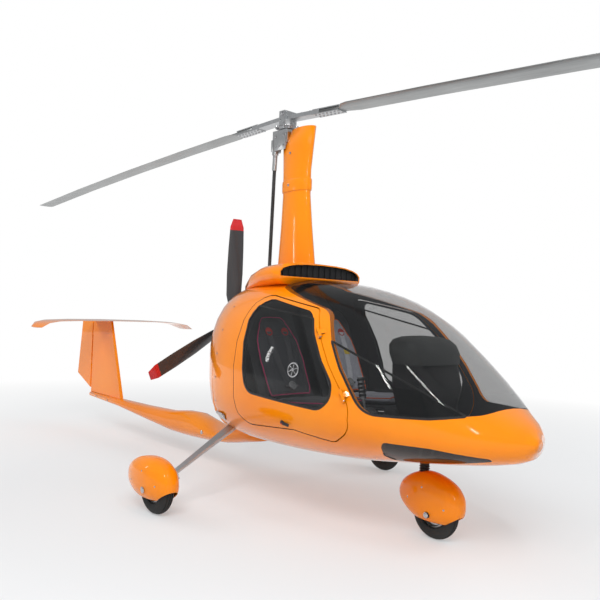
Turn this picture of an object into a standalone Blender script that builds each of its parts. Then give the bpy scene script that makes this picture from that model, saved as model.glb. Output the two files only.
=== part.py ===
# Side-by-side two-seat gyrocopter with a closed cabin, a pusher propeller and a tall tail.
# Metres, +Z up, nose towards -Y, starboard towards -X. The origin is on the ground under the rotor axis.

import bpy
import bmesh
from math import atan2, cos, hypot, pi, radians, sin, tan
from mathutils import Matrix, Vector

# Driving dimensions
ROTOR_RADIUS = 4.20
ROTOR_CHORD = 0.175
ROTOR_HUB_HEIGHT = 2.705
ROTOR_PARK_YAW = radians(2.2)
BLADE_ROOT_RADIUS = 0.365
BLADE_THICKNESS = 0.024
DROOP_SLOPE = 0.045
DROOP_CURVE = 0.0065
TEETER_HEIGHT = 2.735

PROP_RADIUS = 0.835
PROP_PLANE_Y = 0.605
PROP_HEIGHT = 1.175
PROP_BLADES = 3
PROP_PARK_ANGLE = radians(1.0)

TRACK = 2.12
MAIN_WHEEL_Y = -0.12
MAIN_TYRE_RADIUS = 0.160
MAIN_TYRE_WIDTH = 0.090
NOSE_WHEEL_Y = -1.445
NOSE_TYRE_RADIUS = 0.150
NOSE_TYRE_WIDTH = 0.085
AXLE_RADIUS = 0.0125

WALL = 0.022
DOOR_WALL = 0.022
COWL_WALL = 0.014
SCREEN_WALL = 0.006
SEAT_GAP = 0.0003
DOOR_GAP = 0.006
SPLIT_Y = -0.058

FIN_TOP = 1.112
HINGE_LINE_Y = 3.12
STABILISER_HALF_SPAN = 0.82

# Body sections, nose to tail
# columns: y, bottom z, widest z, top z, half width, lower power, upper power
BODY_SECTIONS = [
    (-2.070, 0.605, 0.640, 0.672, 0.045, 2.0, 2.0),
    (-2.040, 0.560, 0.645, 0.712, 0.120, 2.0, 2.0),
    (-1.983, 0.532, 0.652, 0.758, 0.210, 2.1, 2.1),
    (-1.890, 0.509, 0.662, 0.812, 0.303, 2.2, 2.2),
    (-1.797, 0.492, 0.677, 0.894, 0.380, 2.2, 2.2),
    (-1.685, 0.475, 0.697, 0.990, 0.449, 2.2, 2.2),
    (-1.536, 0.455, 0.718, 1.117, 0.517, 2.2, 2.2),
    (-1.369, 0.433, 0.742, 1.240, 0.579, 2.2, 2.25),
    (-1.183, 0.409, 0.766, 1.345, 0.630, 2.25, 2.3),
    (-0.950, 0.387, 0.790, 1.432, 0.665, 2.3, 2.3),
    (-0.650, 0.374, 0.805, 1.485, 0.675, 2.4, 2.3),
    (-0.350, 0.380, 0.815, 1.507, 0.655, 2.7, 2.3),
    (-0.050, 0.392, 0.830, 1.502, 0.597, 3.0, 2.25),
    (0.150, 0.388, 0.865, 1.478, 0.513, 2.8, 2.2),
    (0.300, 0.400, 0.920, 1.447, 0.419, 2.4, 2.1),
    (0.400, 0.447, 0.975, 1.412, 0.340, 2.1, 2.0),
    (0.470, 0.535, 1.010, 1.365, 0.275, 2.0, 2.0),
]
RING_POINTS = 28
END_RUN = 0.08

# Outlines in side view: y, z, corner radius
DOOR_CORNERS = [
    (-1.160, 0.560, 0.120),
    (-0.330, 0.560, 0.140),
    (-0.270, 1.412, 0.130),
    (-0.905, 1.306, 0.090),
    (-1.300, 0.785, 0.150),
    (-1.285, 0.640, 0.100),
]
DOOR_WINDOW_CORNERS = [
    (-1.100, 0.740, 0.080),
    (-0.455, 0.775, 0.110),
    (-0.315, 1.385, 0.110),
    (-0.875, 1.285, 0.130),
    (-1.220, 0.835, 0.100),
]
SCREEN_CORNERS = [
    (-1.700, 0.756, 0.400),
    (-1.380, 0.748, 0.130),
    (-0.986, 1.289, 0.200),
    (-0.400, 1.440, 0.020),
    (-0.345, 1.700, 0.020),
    (-2.200, 1.700, 0.020),
    (-1.895, 0.786, 0.040),
]
CHIN_CORNERS = [
    (-1.365, 0.470, 0.035),
    (-1.455, 0.605, 0.045),
    (-1.690, 0.603, 0.150),
    (-1.975, 0.562, 0.010),
    (-1.800, 0.527, 0.150),
    (-1.560, 0.487, 0.150),
]

# Tail boom: y, bottom z, top z, half width
BOOM_SECTIONS = [
    (0.000, 0.330, 0.430, 0.150),
    (0.200, 0.285, 0.450, 0.175),
    (0.350, 0.255, 0.430, 0.172),
    (0.480, 0.232, 0.335, 0.155),
    (0.650, 0.214, 0.318, 0.135),
    (0.800, 0.200, 0.352, 0.126),
    (1.000, 0.190, 0.398, 0.116),
    (1.180, 0.186, 0.394, 0.108),
    (1.400, 0.188, 0.366, 0.100),
    (1.850, 0.225, 0.350, 0.088),
    (2.400, 0.272, 0.345, 0.070),
    (3.080, 0.300, 0.352, 0.045),
]

# Mast fairing: z, front y, rear y, half thickness
MAST_SECTIONS = [
    (1.400, -0.370, 0.075, 0.085),
    (1.630, -0.330, 0.050, 0.065),
    (1.900, -0.290, 0.030, 0.056),
    (2.120, -0.262, 0.020, 0.052),
    (2.300, -0.262, 0.025, 0.050),
    (2.480, -0.285, 0.035, 0.050),
    (2.605, -0.300, -0.055, 0.046),
]

# Fin and rudder in side view: y, z
FIN_OUTLINE = [(2.420, 0.330), (2.700, FIN_TOP), (HINGE_LINE_Y - 0.012, FIN_TOP), (HINGE_LINE_Y - 0.012, 0.320)]
RUDDER_OUTLINE = [
    (HINGE_LINE_Y + 0.012, 0.390),
    (3.180, 0.410),
    (3.460, 0.520),
    (3.385, FIN_TOP - 0.010),
    (HINGE_LINE_Y + 0.012, FIN_TOP - 0.010),
]

COLOURS = {
    "orange_paint": ((0.95, 0.33, 0.02), 0.15, 0.0),
    "tinted_glass": ((0.03, 0.03, 0.04), 0.05, 0.0),
    "black_trim": ((0.02, 0.02, 0.02), 0.35, 0.0),
    "cabin_grey": ((0.10, 0.10, 0.11), 0.60, 0.0),
    "seat_fabric": ((0.12, 0.12, 0.13), 0.85, 0.0),
    "aluminium": ((0.70, 0.71, 0.72), 0.30, 1.0),
    "steel": ((0.45, 0.45, 0.46), 0.35, 1.0),
    "tyre_rubber": ((0.02, 0.02, 0.02), 0.80, 0.0),
    "prop_grey": ((0.09, 0.09, 0.10), 0.35, 0.0),
    "engine_grey": ((0.25, 0.25, 0.26), 0.50, 0.8),
}


# Scene
for old in list(bpy.data.objects):
    bpy.data.objects.remove(old, do_unlink=True)
parts = bpy.data.collections.new("gyrocopter")
cutters = bpy.data.collections.new("cutters")
bpy.context.scene.collection.children.link(parts)
bpy.context.scene.collection.children.link(cutters)


def material(name):
    found = bpy.data.materials.get(name)
    if found:
        return found
    colour, roughness, metallic = COLOURS[name]
    made = bpy.data.materials.new(name)
    made.use_nodes = True
    shader = made.node_tree.nodes["Principled BSDF"]
    shader.inputs["Base Color"].default_value = (*colour, 1)
    shader.inputs["Roughness"].default_value = roughness
    shader.inputs["Metallic"].default_value = metallic
    return made


def place(name, mesh, finish=None):
    """Link a mesh as a part with its finish, or as a hidden cutter without one."""
    obj = bpy.data.objects.new(name, mesh)
    if finish:
        parts.objects.link(obj)
        mesh.materials.append(material(finish))
        mesh.shade_smooth()
        mesh.set_sharp_from_angle(angle=radians(35))
    else:
        cutters.objects.link(obj)
        obj.hide_render = True
        obj.display_type = "WIRE"
    return obj


def from_bmesh(name, bm, finish=None):
    bmesh.ops.recalc_face_normals(bm, faces=bm.faces)
    mesh = bpy.data.meshes.new(name)
    bm.to_mesh(mesh)
    bm.free()
    return place(name, mesh, finish)


def loft(name, rings, finish=None):
    """Skin a list of equal rings of points and cap both ends. Its triangles mirror about X = 0."""
    bm = bmesh.new()
    rows = [[bm.verts.new(point) for point in ring] for ring in rings]
    count = len(rows[0])
    for low, high in zip(rows, rows[1:]):
        for i in range(count):
            j = (i + 1) % count
            if low[i].co.x + low[j].co.x > 0:
                bm.faces.new((low[i], low[j], high[j]))
                bm.faces.new((low[i], high[j], high[i]))
            else:
                bm.faces.new((low[i], low[j], high[i]))
                bm.faces.new((low[j], high[j], high[i]))
    bm.faces.new(rows[0])
    bm.faces.new(rows[-1])
    return from_bmesh(name, bm, finish)


def prism(name, outline, low, high, finish=None):
    """Extrude a (y, z) outline along X from low to high."""
    bm = bmesh.new()
    face = bm.faces.new([bm.verts.new((low, y, z)) for y, z in outline])
    grown = bmesh.ops.extrude_face_region(bm, geom=[face])
    moved = [v for v in grown["geom"] if isinstance(v, bmesh.types.BMVert)]
    bmesh.ops.translate(bm, verts=moved, vec=(high - low, 0, 0))
    return from_bmesh(name, bm, finish)


def box(name, low, high, finish=None, bevel=0.0, turn=None):
    """A box between two corners, with rounded edges, turned about its centre."""
    low, high = Vector(low), Vector(high)
    bm = bmesh.new()
    bmesh.ops.create_cube(bm, size=1)
    size = Matrix.Diagonal((*(high - low), 1))
    spin = turn if turn else Matrix.Identity(4)
    bmesh.ops.transform(bm, matrix=Matrix.Translation((low + high) / 2) @ spin @ size, verts=bm.verts)
    obj = from_bmesh(name, bm, finish)
    if bevel:
        rounding = obj.modifiers.new("rounding", "BEVEL")
        rounding.width = bevel
        rounding.segments = 2
    return obj


def rod(name, start, end, radius, finish=None, sides=20, end_radius=None):
    """A round bar or cone between two points."""
    start, end = Vector(start), Vector(end)
    along = end - start
    bm = bmesh.new()
    bmesh.ops.create_cone(
        bm, cap_ends=True, segments=sides, radius1=radius, radius2=end_radius or radius, depth=along.length
    )
    spin = along.to_track_quat("Z", "Y").to_matrix().to_4x4()
    bmesh.ops.transform(bm, matrix=Matrix.Translation((start + end) / 2) @ spin, verts=bm.verts)
    return from_bmesh(name, bm, finish)


def turned(name, profile, centre, axis, finish, steps=28):
    """Turn a closed (radius, height) profile about an axis through centre."""
    bm = bmesh.new()
    ring = [bm.verts.new((radius, 0, height)) for radius, height in profile]
    for i, vert in enumerate(ring):
        bm.edges.new((vert, ring[(i + 1) % len(ring)]))
    mesh = bpy.data.meshes.new(name)
    bm.to_mesh(mesh)
    bm.free()
    obj = place(name, mesh, finish)
    obj.rotation_mode = "QUATERNION"
    obj.rotation_quaternion = Vector(axis).to_track_quat("Z", "Y")
    obj.location = centre
    screw = obj.modifiers.new("turning", "SCREW")
    screw.steps = screw.render_steps = steps
    screw.use_merge_vertices = True
    screw.merge_threshold = 0.0001
    return obj


def combine(obj, operation, *others):
    for other in others:
        change = obj.modifiers.new(operation.lower() + "_" + other.name, "BOOLEAN")
        change.operation = operation
        change.object = other
        change.solver = "EXACT"
    return obj


def cut(obj, *others):
    return combine(obj, "DIFFERENCE", *others)


def keep(obj, *others):
    return combine(obj, "INTERSECT", *others)


def join(obj, *others):
    return combine(obj, "UNION", *others)


# Outlines with rounded corners
def rounded(corners, grow=0.0, steps=5):
    """Points of an outline given by corners (y, z, radius) in anticlockwise order, moved out by grow."""
    count = len(corners)
    lines = []
    for i in range(count):
        start, end = Vector(corners[i][:2]), Vector(corners[(i + 1) % count][:2])
        way = (end - start).normalized()
        lines.append((start + Vector((way.y, -way.x)) * grow, way))
    points = []
    for i in range(count):
        (p, before), (q, after) = lines[i - 1], lines[i]
        cross = before.x * after.y - before.y * after.x
        gap = q - p
        corner = p + before * ((gap.x * after.y - gap.y * after.x) / cross)
        turn = atan2(cross, before.dot(after))
        radius = max(corners[i][2] + (grow if turn > 0 else -grow), 0.002)
        reach = radius * tan(abs(turn) / 2)
        side = 1 if turn > 0 else -1
        centre = corner - before * reach + Vector((-before.y, before.x)) * radius * side
        first = atan2(-before.x * side, before.y * side)
        for k in range(steps + 1):
            angle = first + turn * k / steps
            points.append((centre.x + radius * cos(angle), centre.y + radius * sin(angle)))
    return points


def anticlockwise(corners):
    area = sum(
        a[0] * b[1] - b[0] * a[1] for a, b in zip(corners, corners[1:] + corners[:1])
    )
    return corners if area > 0 else corners[::-1]


# Body surface
def section_at(y):
    """Section values at y, on a smooth curve through the table."""
    rows = BODY_SECTIONS
    if y <= rows[0][0]:
        return rows[0]
    if y >= rows[-1][0]:
        return rows[-1]
    k = max(i for i in range(len(rows) - 1) if rows[i][0] <= y)
    before, here = rows[max(k - 1, 0)], rows[k]
    after, beyond = rows[k + 1], rows[min(k + 2, len(rows) - 1)]
    step = after[0] - here[0]
    u = (y - here[0]) / step
    values = [y]
    for c in range(1, 7):
        m0 = (after[c] - before[c]) / (after[0] - before[0]) * step
        m1 = (beyond[c] - here[c]) / (beyond[0] - here[0]) * step
        h = (2 * u**3 - 3 * u**2 + 1, u**3 - 2 * u**2 + u, -2 * u**3 + 3 * u**2, u**3 - u**2)
        values.append(h[0] * here[c] + h[1] * m0 + h[2] * after[c] + h[3] * m1)
    return tuple(values)


def curve_power(value, power):
    return (1 if value >= 0 else -1) * abs(value) ** (2 / power)


def body_ring(y, inset):
    _, bottom, middle, top, half, low_power, high_power = section_at(y)
    half -= inset
    ring = []
    for i in range(RING_POINTS):
        angle = 2 * pi * (i + 0.5) / RING_POINTS
        power = high_power if sin(angle) >= 0 else low_power
        rise = (top - inset - middle) if sin(angle) >= 0 else (middle - bottom - inset)
        ring.append((half * curve_power(cos(angle), power), y, middle + rise * curve_power(sin(angle), power)))
    return ring


def body_stations():
    stations = []
    for here, after in zip(BODY_SECTIONS, BODY_SECTIONS[1:]):
        stations.append(here[0])
        if after[0] - here[0] > 0.17:
            stations.append((here[0] + after[0]) / 2)
    return stations + [BODY_SECTIONS[-1][0]]


def body_loft(name, inset, finish=None):
    """The body's surface moved in by inset. An inner one runs on through the open tail end."""
    rings = []
    for y in body_stations():
        _, bottom, middle, top, half, _, _ = section_at(y)
        if min(half, top - middle, middle - bottom) > inset + 0.02:
            rings.append(body_ring(y, inset))
    if inset > 0:
        first = [(x, y + inset * 0.6, z) for x, y, z in rings[0]]
        rings[0] = first
        rings.append([(x, y + END_RUN, z) for x, y, z in rings[-1]])
    return loft(name, rings, finish)


def body_half_width(y, z):
    _, bottom, middle, top, half, low_power, high_power = section_at(y)
    reach, power = (top - middle, high_power) if z >= middle else (middle - bottom, low_power)
    share = min(abs(z - middle) / reach, 1.0)
    return half * (1 - share**power) ** (1 / power)


outer_skin = body_loft("outer_skin", 0.0)
outer_seat = body_loft("outer_seat", -SEAT_GAP)
wall_core = body_loft("wall_core", WALL)
cowl_core = body_loft("cowl_core", COWL_WALL)
door_core = body_loft("door_core", DOOR_WALL)
screen_core = body_loft("screen_core", SCREEN_WALL)
lining = body_loft("lining", WALL + SEAT_GAP)

SIDES = (("starboard", -1), ("port", 1))


def side_prism(name, corners, grow, side, finish=None):
    low, high = (-1.2, -0.12) if side < 0 else (0.12, 1.2)
    return prism(name, rounded(anticlockwise(corners), grow), low, high, finish)


# Door hinges
HINGE_HEIGHTS = (1.17, 0.84)
HINGE_STAND = 0.021
HINGE_FORWARD = 0.012
KNUCKLE_RADIUS = 0.009
LUG_LENGTH = 0.030
LUG_REACH = 0.022
STRAP_REACH = 0.034
STRAP_THICKNESS = 0.008


def front_seam_y(z):
    """Front edge of the door, a straight line between two of its corners."""
    (y1, z1, _), (y0, z0, _) = DOOR_CORNERS[3], DOOR_CORNERS[4]
    return y0 + (y1 - y0) * (z - z0) / (z1 - z0)


def hinge_point(z, side):
    y = front_seam_y(z) - HINGE_FORWARD
    return Vector((side * (body_half_width(y, z) + HINGE_STAND), y, z))


def swing_prism(name, corners, grow, side):
    """A door's outline through the skin, slanted at its rear edge along the way the door swings out."""
    upper, lower = hinge_point(HINGE_HEIGHTS[0], 1), hinge_point(HINGE_HEIGHTS[1], 1)
    axis = (upper - lower).normalized()
    aft = axis.cross(Vector((1, 0, 0))).normalized()
    out = aft.cross(axis)
    outline = rounded(anticlockwise(corners), grow)
    inner, outer = [], []
    for i, (y, z) in enumerate(outline):
        (y0, z0), (y1, z1) = outline[i - 1], outline[(i + 1) % len(outline)]
        normal = Vector((0, z1 - z0, y0 - y1)).normalized()
        skin_x = body_half_width(y, z) - DOOR_WALL / 2
        arm = Vector((skin_x, y, z)) - upper
        slant = max(0, -arm.dot(out)) / max(arm.dot(aft), 0.15) * max(0, normal.dot(aft))
        for ring, x in ((inner, 0.12), (outer, 1.2)):
            shift = aft * slant * (x - skin_x)
            ring.append((x, y + shift.y, z + shift.z))
    obj = loft(name, [inner, outer])
    if side < 0:
        obj.data.transform(Matrix.Diagonal((-1, 1, 1, 1)))
        obj.data.flip_normals()
    return obj


def strap(name, centre, axis, anchor, width):
    """A flat plate from the hinge pin to a point inside the skin."""
    way = anchor - centre
    e1 = way.normalized()
    e3 = e1.cross(axis).normalized()
    frame = Matrix((e1, e3.cross(e1), e3)).transposed().to_4x4()
    bm = bmesh.new()
    bmesh.ops.create_cube(bm, size=1)
    size = Matrix.Diagonal((way.length, width, STRAP_THICKNESS, 1))
    bmesh.ops.transform(bm, matrix=Matrix.Translation(centre + way / 2) @ frame @ size, verts=bm.verts)
    return from_bmesh(name, bm)


def skin_anchor(centre, axis, side, reach):
    """A point inside the skin, square to the hinge axis, at reach behind the pin."""
    across = axis.cross(Vector((1, 0, 0))).normalized()
    point = centre + across * reach
    point.x = side * (body_half_width(point.y, point.z) - WALL / 2)
    return point - axis * (point - centre).dot(axis)


def add_hinges(hull, door, side_name, side):
    upper, lower = (hinge_point(z, side) for z in HINGE_HEIGHTS)
    axis = (upper - lower).normalized()
    knuckles = [
        # name, owner, reach behind the pin, place along the pin, length
        ("lug", hull, -LUG_REACH, 0.0, LUG_LENGTH),
        ("top", door, STRAP_REACH, 1.0, 0.018),
        ("base", door, STRAP_REACH, -1.0, 0.018),
    ]
    for level, centre in (("upper", upper), ("lower", lower)):
        for kind, owner, reach, shift, length in knuckles:
            tag = f"{kind}_{level}_{side_name}"
            middle = centre + axis * shift * (LUG_LENGTH / 2 + SEAT_GAP + length / 2)
            half = axis * (length / 2)
            anchor = skin_anchor(middle, axis, side, reach)
            knuckle = rod("knuckle_" + tag, middle - half, middle + half, KNUCKLE_RADIUS, sides=14)
            join(owner, knuckle, strap("strap_" + tag, middle, axis, anchor, length))
    return upper, lower


# Cabin hull and engine cowl
cabin_hull = body_loft("cabin_hull", 0.0, "orange_paint")
front_half = box("front_half", (-1, -3, -1), (1, SPLIT_Y, 3))
rear_half = box("rear_half", (-1, SPLIT_Y + SEAT_GAP, -1), (1, 2, 3))
screen_hole = prism("screen_hole", rounded(anticlockwise(SCREEN_CORNERS)), -1.0, 1.0)
keep(cabin_hull, front_half)
cut(cabin_hull, wall_core, screen_hole)
for side_name, side in SIDES:
    cut(cabin_hull, swing_prism("door_hole_" + side_name, DOOR_CORNERS, 0.0, side))
    cut(cabin_hull, side_prism("chin_hole_" + side_name, CHIN_CORNERS, 0.0, side))

engine_cowl = body_loft("engine_cowl", 0.0, "orange_paint")
keep(engine_cowl, rear_half)
cut(engine_cowl, cowl_core)

# Windscreen and chin windows
windscreen = prism("windscreen", rounded(anticlockwise(SCREEN_CORNERS), -SEAT_GAP), -0.9, 0.9, "tinted_glass")
keep(windscreen, outer_skin)
cut(windscreen, screen_core)
for side_name, side in SIDES:
    pane = side_prism("chin_window_" + side_name, CHIN_CORNERS, -SEAT_GAP, side, "tinted_glass")
    keep(pane, outer_skin)
    cut(pane, screen_core)

# Doors with their windows
for side_name, side in SIDES:
    door = body_loft("door_" + side_name, 0.0, "orange_paint")
    keep(door, swing_prism("door_edge_" + side_name, DOOR_CORNERS, -DOOR_GAP, side))
    window_hole = side_prism("window_hole_" + side_name, DOOR_WINDOW_CORNERS, 0.0, side)
    cut(door, door_core, window_hole)
    upper, lower = add_hinges(cabin_hull, door, side_name, side)
    print("door hinge", side_name, [round(v, 4) for v in upper], [round(v, 4) for v in lower])
    pane = side_prism("door_window_" + side_name, DOOR_WINDOW_CORNERS, -SEAT_GAP, side, "tinted_glass")
    keep(pane, outer_skin)
    cut(pane, screen_core)

# Cabin floor and firewall
FLOOR_TOP = 0.480
FLOOR_THICKNESS = 0.022
FIREWALL_FRONT = -0.110
floor_low = (-1, -1.72, FLOOR_TOP - FLOOR_THICKNESS)
cabin_floor = box("cabin_floor", floor_low, (1, FIREWALL_FRONT - SEAT_GAP, FLOOR_TOP), "cabin_grey")
keep(cabin_floor, lining)
firewall = box("firewall", (-1, FIREWALL_FRONT, 0), (1, FIREWALL_FRONT + 0.015, 2), "cabin_grey")
keep(firewall, lining)

# Seats, each a bent sheet with a soft pad on it
SEAT_X = 0.275
SEAT_WIDTH = 0.460
PAD_WIDTH = 0.420
SEAT_SHELL = [
    (-1.030, FLOOR_TOP + SEAT_GAP, 0.001),
    (-1.012, FLOOR_TOP + SEAT_GAP, 0.001),
    (-0.992, 0.6805, 0.027),
    (-0.4409, 0.6360, 0.093),
    (-0.1337, 1.2924, 0.003),
    (-0.1500, 1.3000, 0.003),
    (-0.4520, 0.6550, 0.075),
    (-1.010, 0.7000, 0.045),
]
SEAT_PAD = [
    (-0.995, 0.6998, 0.010),
    (-0.4525, 0.6560, 0.090),
    (-0.1763, 1.2460, 0.030),
    (-0.2260, 1.2690, 0.030),
    (-0.4840, 0.7187, 0.060),
    (-0.985, 0.7590, 0.030),
]
for side_name, side in SIDES:
    for name, corners, width, finish in (
        ("seat_", SEAT_SHELL, SEAT_WIDTH, "cabin_grey"),
        ("seat_pad_", SEAT_PAD, PAD_WIDTH, "seat_fabric"),
    ):
        low, high = side * SEAT_X - width / 2, side * SEAT_X + width / 2
        keep(prism(name + side_name, rounded(anticlockwise(corners)), low, high, finish), lining)

# Instrument pedestal
PANEL_SECTIONS = [
    # z, front y, rear y, half width
    (FLOOR_TOP + SEAT_GAP, -1.490, -1.190, 0.100),
    (0.700, -1.500, -1.210, 0.105),
    (0.860, -1.490, -1.230, 0.190),
    (1.060, -1.420, -1.250, 0.215),
    (1.120, -1.375, -1.270, 0.170),
]


def pedestal_ring(z, front, rear, half):
    corners = [(-half, front, 0.05), (half, front, 0.05), (half, rear, 0.03), (-half, rear, 0.03)]
    return [(x, y, z) for x, y in rounded(corners)]


loft("instrument_panel", [pedestal_ring(*row) for row in PANEL_SECTIONS], "black_trim")

# Control sticks
below_floor = box("below_floor", (-1, -2, 0), (1, 0, FLOOR_TOP + SEAT_GAP))
for side_name, side in SIDES:
    x = side * SEAT_X
    stick = rod("stick_" + side_name, (x, -1.16, FLOOR_TOP - 0.01), (x, -1.10, 0.800), 0.011, "steel", 12)
    cut(stick, below_floor)
    join(stick, rod("grip_" + side_name, (x, -1.10, 0.780), (x, -1.075, 0.905), 0.020, sides=12))

# Engine block, gearbox and propeller shaft
ENGINE_LOW = (-0.220, -0.0947, 0.830)
ENGINE_HIGH = (0.220, 0.250, 1.250)
engine_block = box("engine_block", ENGINE_LOW, ENGINE_HIGH, "engine_grey", bevel=0.03)
gearbox = rod("gearbox", (0, ENGINE_HIGH[1] - 0.01, PROP_HEIGHT), (0, 0.470, PROP_HEIGHT), 0.085, sides=24)
prop_shaft = rod("prop_shaft", (0, 0.46, PROP_HEIGHT), (0, PROP_PLANE_Y - 0.0333, PROP_HEIGHT), 0.035, sides=24)
join(engine_block, gearbox, prop_shaft)

# Propeller
PROP_HUB_RADIUS = 0.072
PROP_HUB_DEPTH = 0.066
# columns: radius, chord, thickness, pitch angle in degrees
PROP_STATIONS = [
    (0.045, 0.050, 0.040, 45),
    (0.120, 0.070, 0.034, 42),
    (0.220, 0.118, 0.022, 34),
    (0.400, 0.130, 0.017, 24),
    (0.600, 0.127, 0.013, 18),
    (0.770, 0.116, 0.009, 15),
    (PROP_RADIUS, 0.072, 0.005, 14),
]


def lens(chord, thickness, count=12):
    """A rounded blade section as (along, across) points."""
    return [
        (chord / 2 * cos(2 * pi * i / count), thickness / 2 * sin(2 * pi * i / count) * (1 + 0.3 * cos(2 * pi * i / count)))
        for i in range(count)
    ]


propeller = rod(
    "propeller",
    (0, PROP_PLANE_Y - PROP_HUB_DEPTH / 2, PROP_HEIGHT),
    (0, PROP_PLANE_Y + PROP_HUB_DEPTH / 2, PROP_HEIGHT),
    PROP_HUB_RADIUS,
    "prop_grey",
    30,
)
for blade in range(PROP_BLADES):
    turn = Matrix.Rotation(PROP_PARK_ANGLE + radians(360 * blade / PROP_BLADES), 4, "Y")
    rings = []
    for radius, chord, thickness, pitch in PROP_STATIONS:
        twist = radians(-pitch)
        ring = []
        for along, across in lens(chord, thickness):
            x = along * cos(twist) - across * sin(twist)
            y = along * sin(twist) + across * cos(twist)
            ring.append(Matrix.Translation((0, PROP_PLANE_Y, PROP_HEIGHT)) @ turn @ Vector((x, y, radius)))
        rings.append(ring)
    join(propeller, loft(f"prop_blade_{blade + 1}", rings))


# Tail boom
def oval_ring(y, bottom, top, half, count=20):
    middle, rise = (bottom + top) / 2, (top - bottom) / 2
    ring = []
    for i in range(count):
        angle = 2 * pi * (i + 0.5) / count
        ring.append((half * curve_power(cos(angle), 2.4), y, middle + rise * curve_power(sin(angle), 2.4)))
    return ring


def boom_height(y):
    rows = BOOM_SECTIONS
    k = max(i for i in range(len(rows) - 1) if rows[i][0] <= y)
    u = (y - rows[k][0]) / (rows[k + 1][0] - rows[k][0])
    return rows[k][2] + (rows[k + 1][2] - rows[k][2]) * u


tail_boom = loft("tail_boom", [oval_ring(*row) for row in BOOM_SECTIONS], "orange_paint")
cut(tail_boom, outer_seat)
BOOM_WALL = 0.008
boom_core_rows = [
    (y, bottom + BOOM_WALL, top - BOOM_WALL, half - BOOM_WALL) for y, bottom, top, half in BOOM_SECTIONS[1:]
]
first, last = boom_core_rows[0], boom_core_rows[-1]
boom_core_rows[-1] = (last[0] + 0.05, *last[1:])
cut(tail_boom, loft("boom_core", [oval_ring(*row) for row in boom_core_rows]))


# Fin, stabiliser and rudder
def plate(name, outline, root_half, top_half, low_z, high_z, finish):
    """An outline in side view, thinner towards its top."""
    obj = prism(name, outline, -0.5, 0.5, finish)
    for vert in obj.data.vertices:
        share = (vert.co.z - low_z) / (high_z - low_z)
        half = root_half + (top_half - root_half) * share
        vert.co.x = half if vert.co.x > 0 else -half
    rounding = obj.modifiers.new("rounding", "BEVEL")
    rounding.width = 0.005
    rounding.segments = 2
    return obj


fin = plate("fin", FIN_OUTLINE, 0.017, 0.012, 0.32, FIN_TOP, "orange_paint")
boom_seat = loft(
    "boom_seat",
    [oval_ring(y, b - SEAT_GAP, t + SEAT_GAP, h + SEAT_GAP) for y, b, t, h in BOOM_SECTIONS],
)
cut(fin, boom_seat)
rudder = plate("rudder", RUDDER_OUTLINE, 0.016, 0.011, 0.39, FIN_TOP, "orange_paint")
PIN_RADIUS = 0.006
RUDDER_LUGS = (0.52, 0.98)
for level, z in enumerate(RUDDER_LUGS):
    for owner, way, rise in ((fin, -1, 0.0), (rudder, 1, 0.020 + SEAT_GAP), (rudder, 1, -0.020 - SEAT_GAP)):
        tag = f"{level}_{way}_{rise > 0}"
        low, high = z + rise - 0.010, z + rise + 0.010
        eye = rod("eye_" + tag, (0, HINGE_LINE_Y, low), (0, HINGE_LINE_Y, high), PIN_RADIUS, sides=14)
        tongue = box(
            "tongue_" + tag,
            (-0.004, min(HINGE_LINE_Y, HINGE_LINE_Y + way * 0.03), low),
            (0.004, max(HINGE_LINE_Y, HINGE_LINE_Y + way * 0.03), high),
        )
        join(owner, eye, tongue)

# Stabiliser: x, front y, rear y, middle z, thickness
STABILISER_SECTIONS = [
    (0.000, 2.500, 3.080, 1.120, 0.018),
    (0.400, 2.490, 2.985, 1.118, 0.017),
    (0.640, 2.470, 2.900, 1.110, 0.016),
    (0.750, 2.455, 2.840, 1.092, 0.015),
    (STABILISER_HALF_SPAN, 2.460, 2.740, 1.050, 0.012),
]


def wing_ring(x, front, rear, middle, thickness, count=14):
    centre, chord = (front + rear) / 2, rear - front
    return [(x, centre + along, middle + across) for along, across in lens(chord, thickness, count)]


mirrored = [(-x, *rest) for x, *rest in STABILISER_SECTIONS[:0:-1]]
stabiliser = loft("stabiliser", [wing_ring(*row) for row in mirrored + STABILISER_SECTIONS], "orange_paint")
FIN_CAP = FIN_TOP + SEAT_GAP
cut(stabiliser, box("fin_head_room", (-0.1, 2.4, 1.0), (0.1, 3.3, FIN_CAP)))


# Mast fairing
def mast_ring(z, front, rear, half, grow=0.0, count=20):
    centre, chord = (front + rear) / 2, rear - front
    ring = []
    for i in range(count):
        angle = 2 * pi * (i + 0.5) / count
        along = (chord / 2 + grow) * cos(angle)
        across = (half + grow) * sin(angle) * (1 - 0.25 * cos(angle))
        ring.append((across, centre + along, z))
    return ring


mast_fairing = loft("mast_fairing", [mast_ring(*row) for row in MAST_SECTIONS], "orange_paint")
mast_seat = loft("mast_seat", [mast_ring(*row, SEAT_GAP) for row in MAST_SECTIONS])
cut(mast_fairing, outer_seat)

# Roof intake: y, half width, middle z, half height
SCOOP_SECTIONS = [
    (-0.420, 0.385, 1.526, 0.086),
    (-0.340, 0.388, 1.530, 0.092),
    (-0.150, 0.350, 1.520, 0.094),
    (0.050, 0.270, 1.490, 0.084),
    (0.240, 0.160, 1.440, 0.070),
]
SCOOP_WALL = 0.012
SCOOP_LIP = 1.515
SCOOP_POWER = 2.6


def scoop_ring(y, half, middle, rise, inset=0.0, floor=0.0, count=22):
    """A flat oval. A floor keeps the duct above the lower lip of its mouth."""
    ring = []
    for i in range(count):
        angle = 2 * pi * (i + 0.5) / count
        across = (half - inset) * curve_power(cos(angle), SCOOP_POWER)
        height = middle + (rise - inset) * curve_power(sin(angle), SCOOP_POWER)
        ring.append((across, y, max(height, floor)))
    return ring


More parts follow.
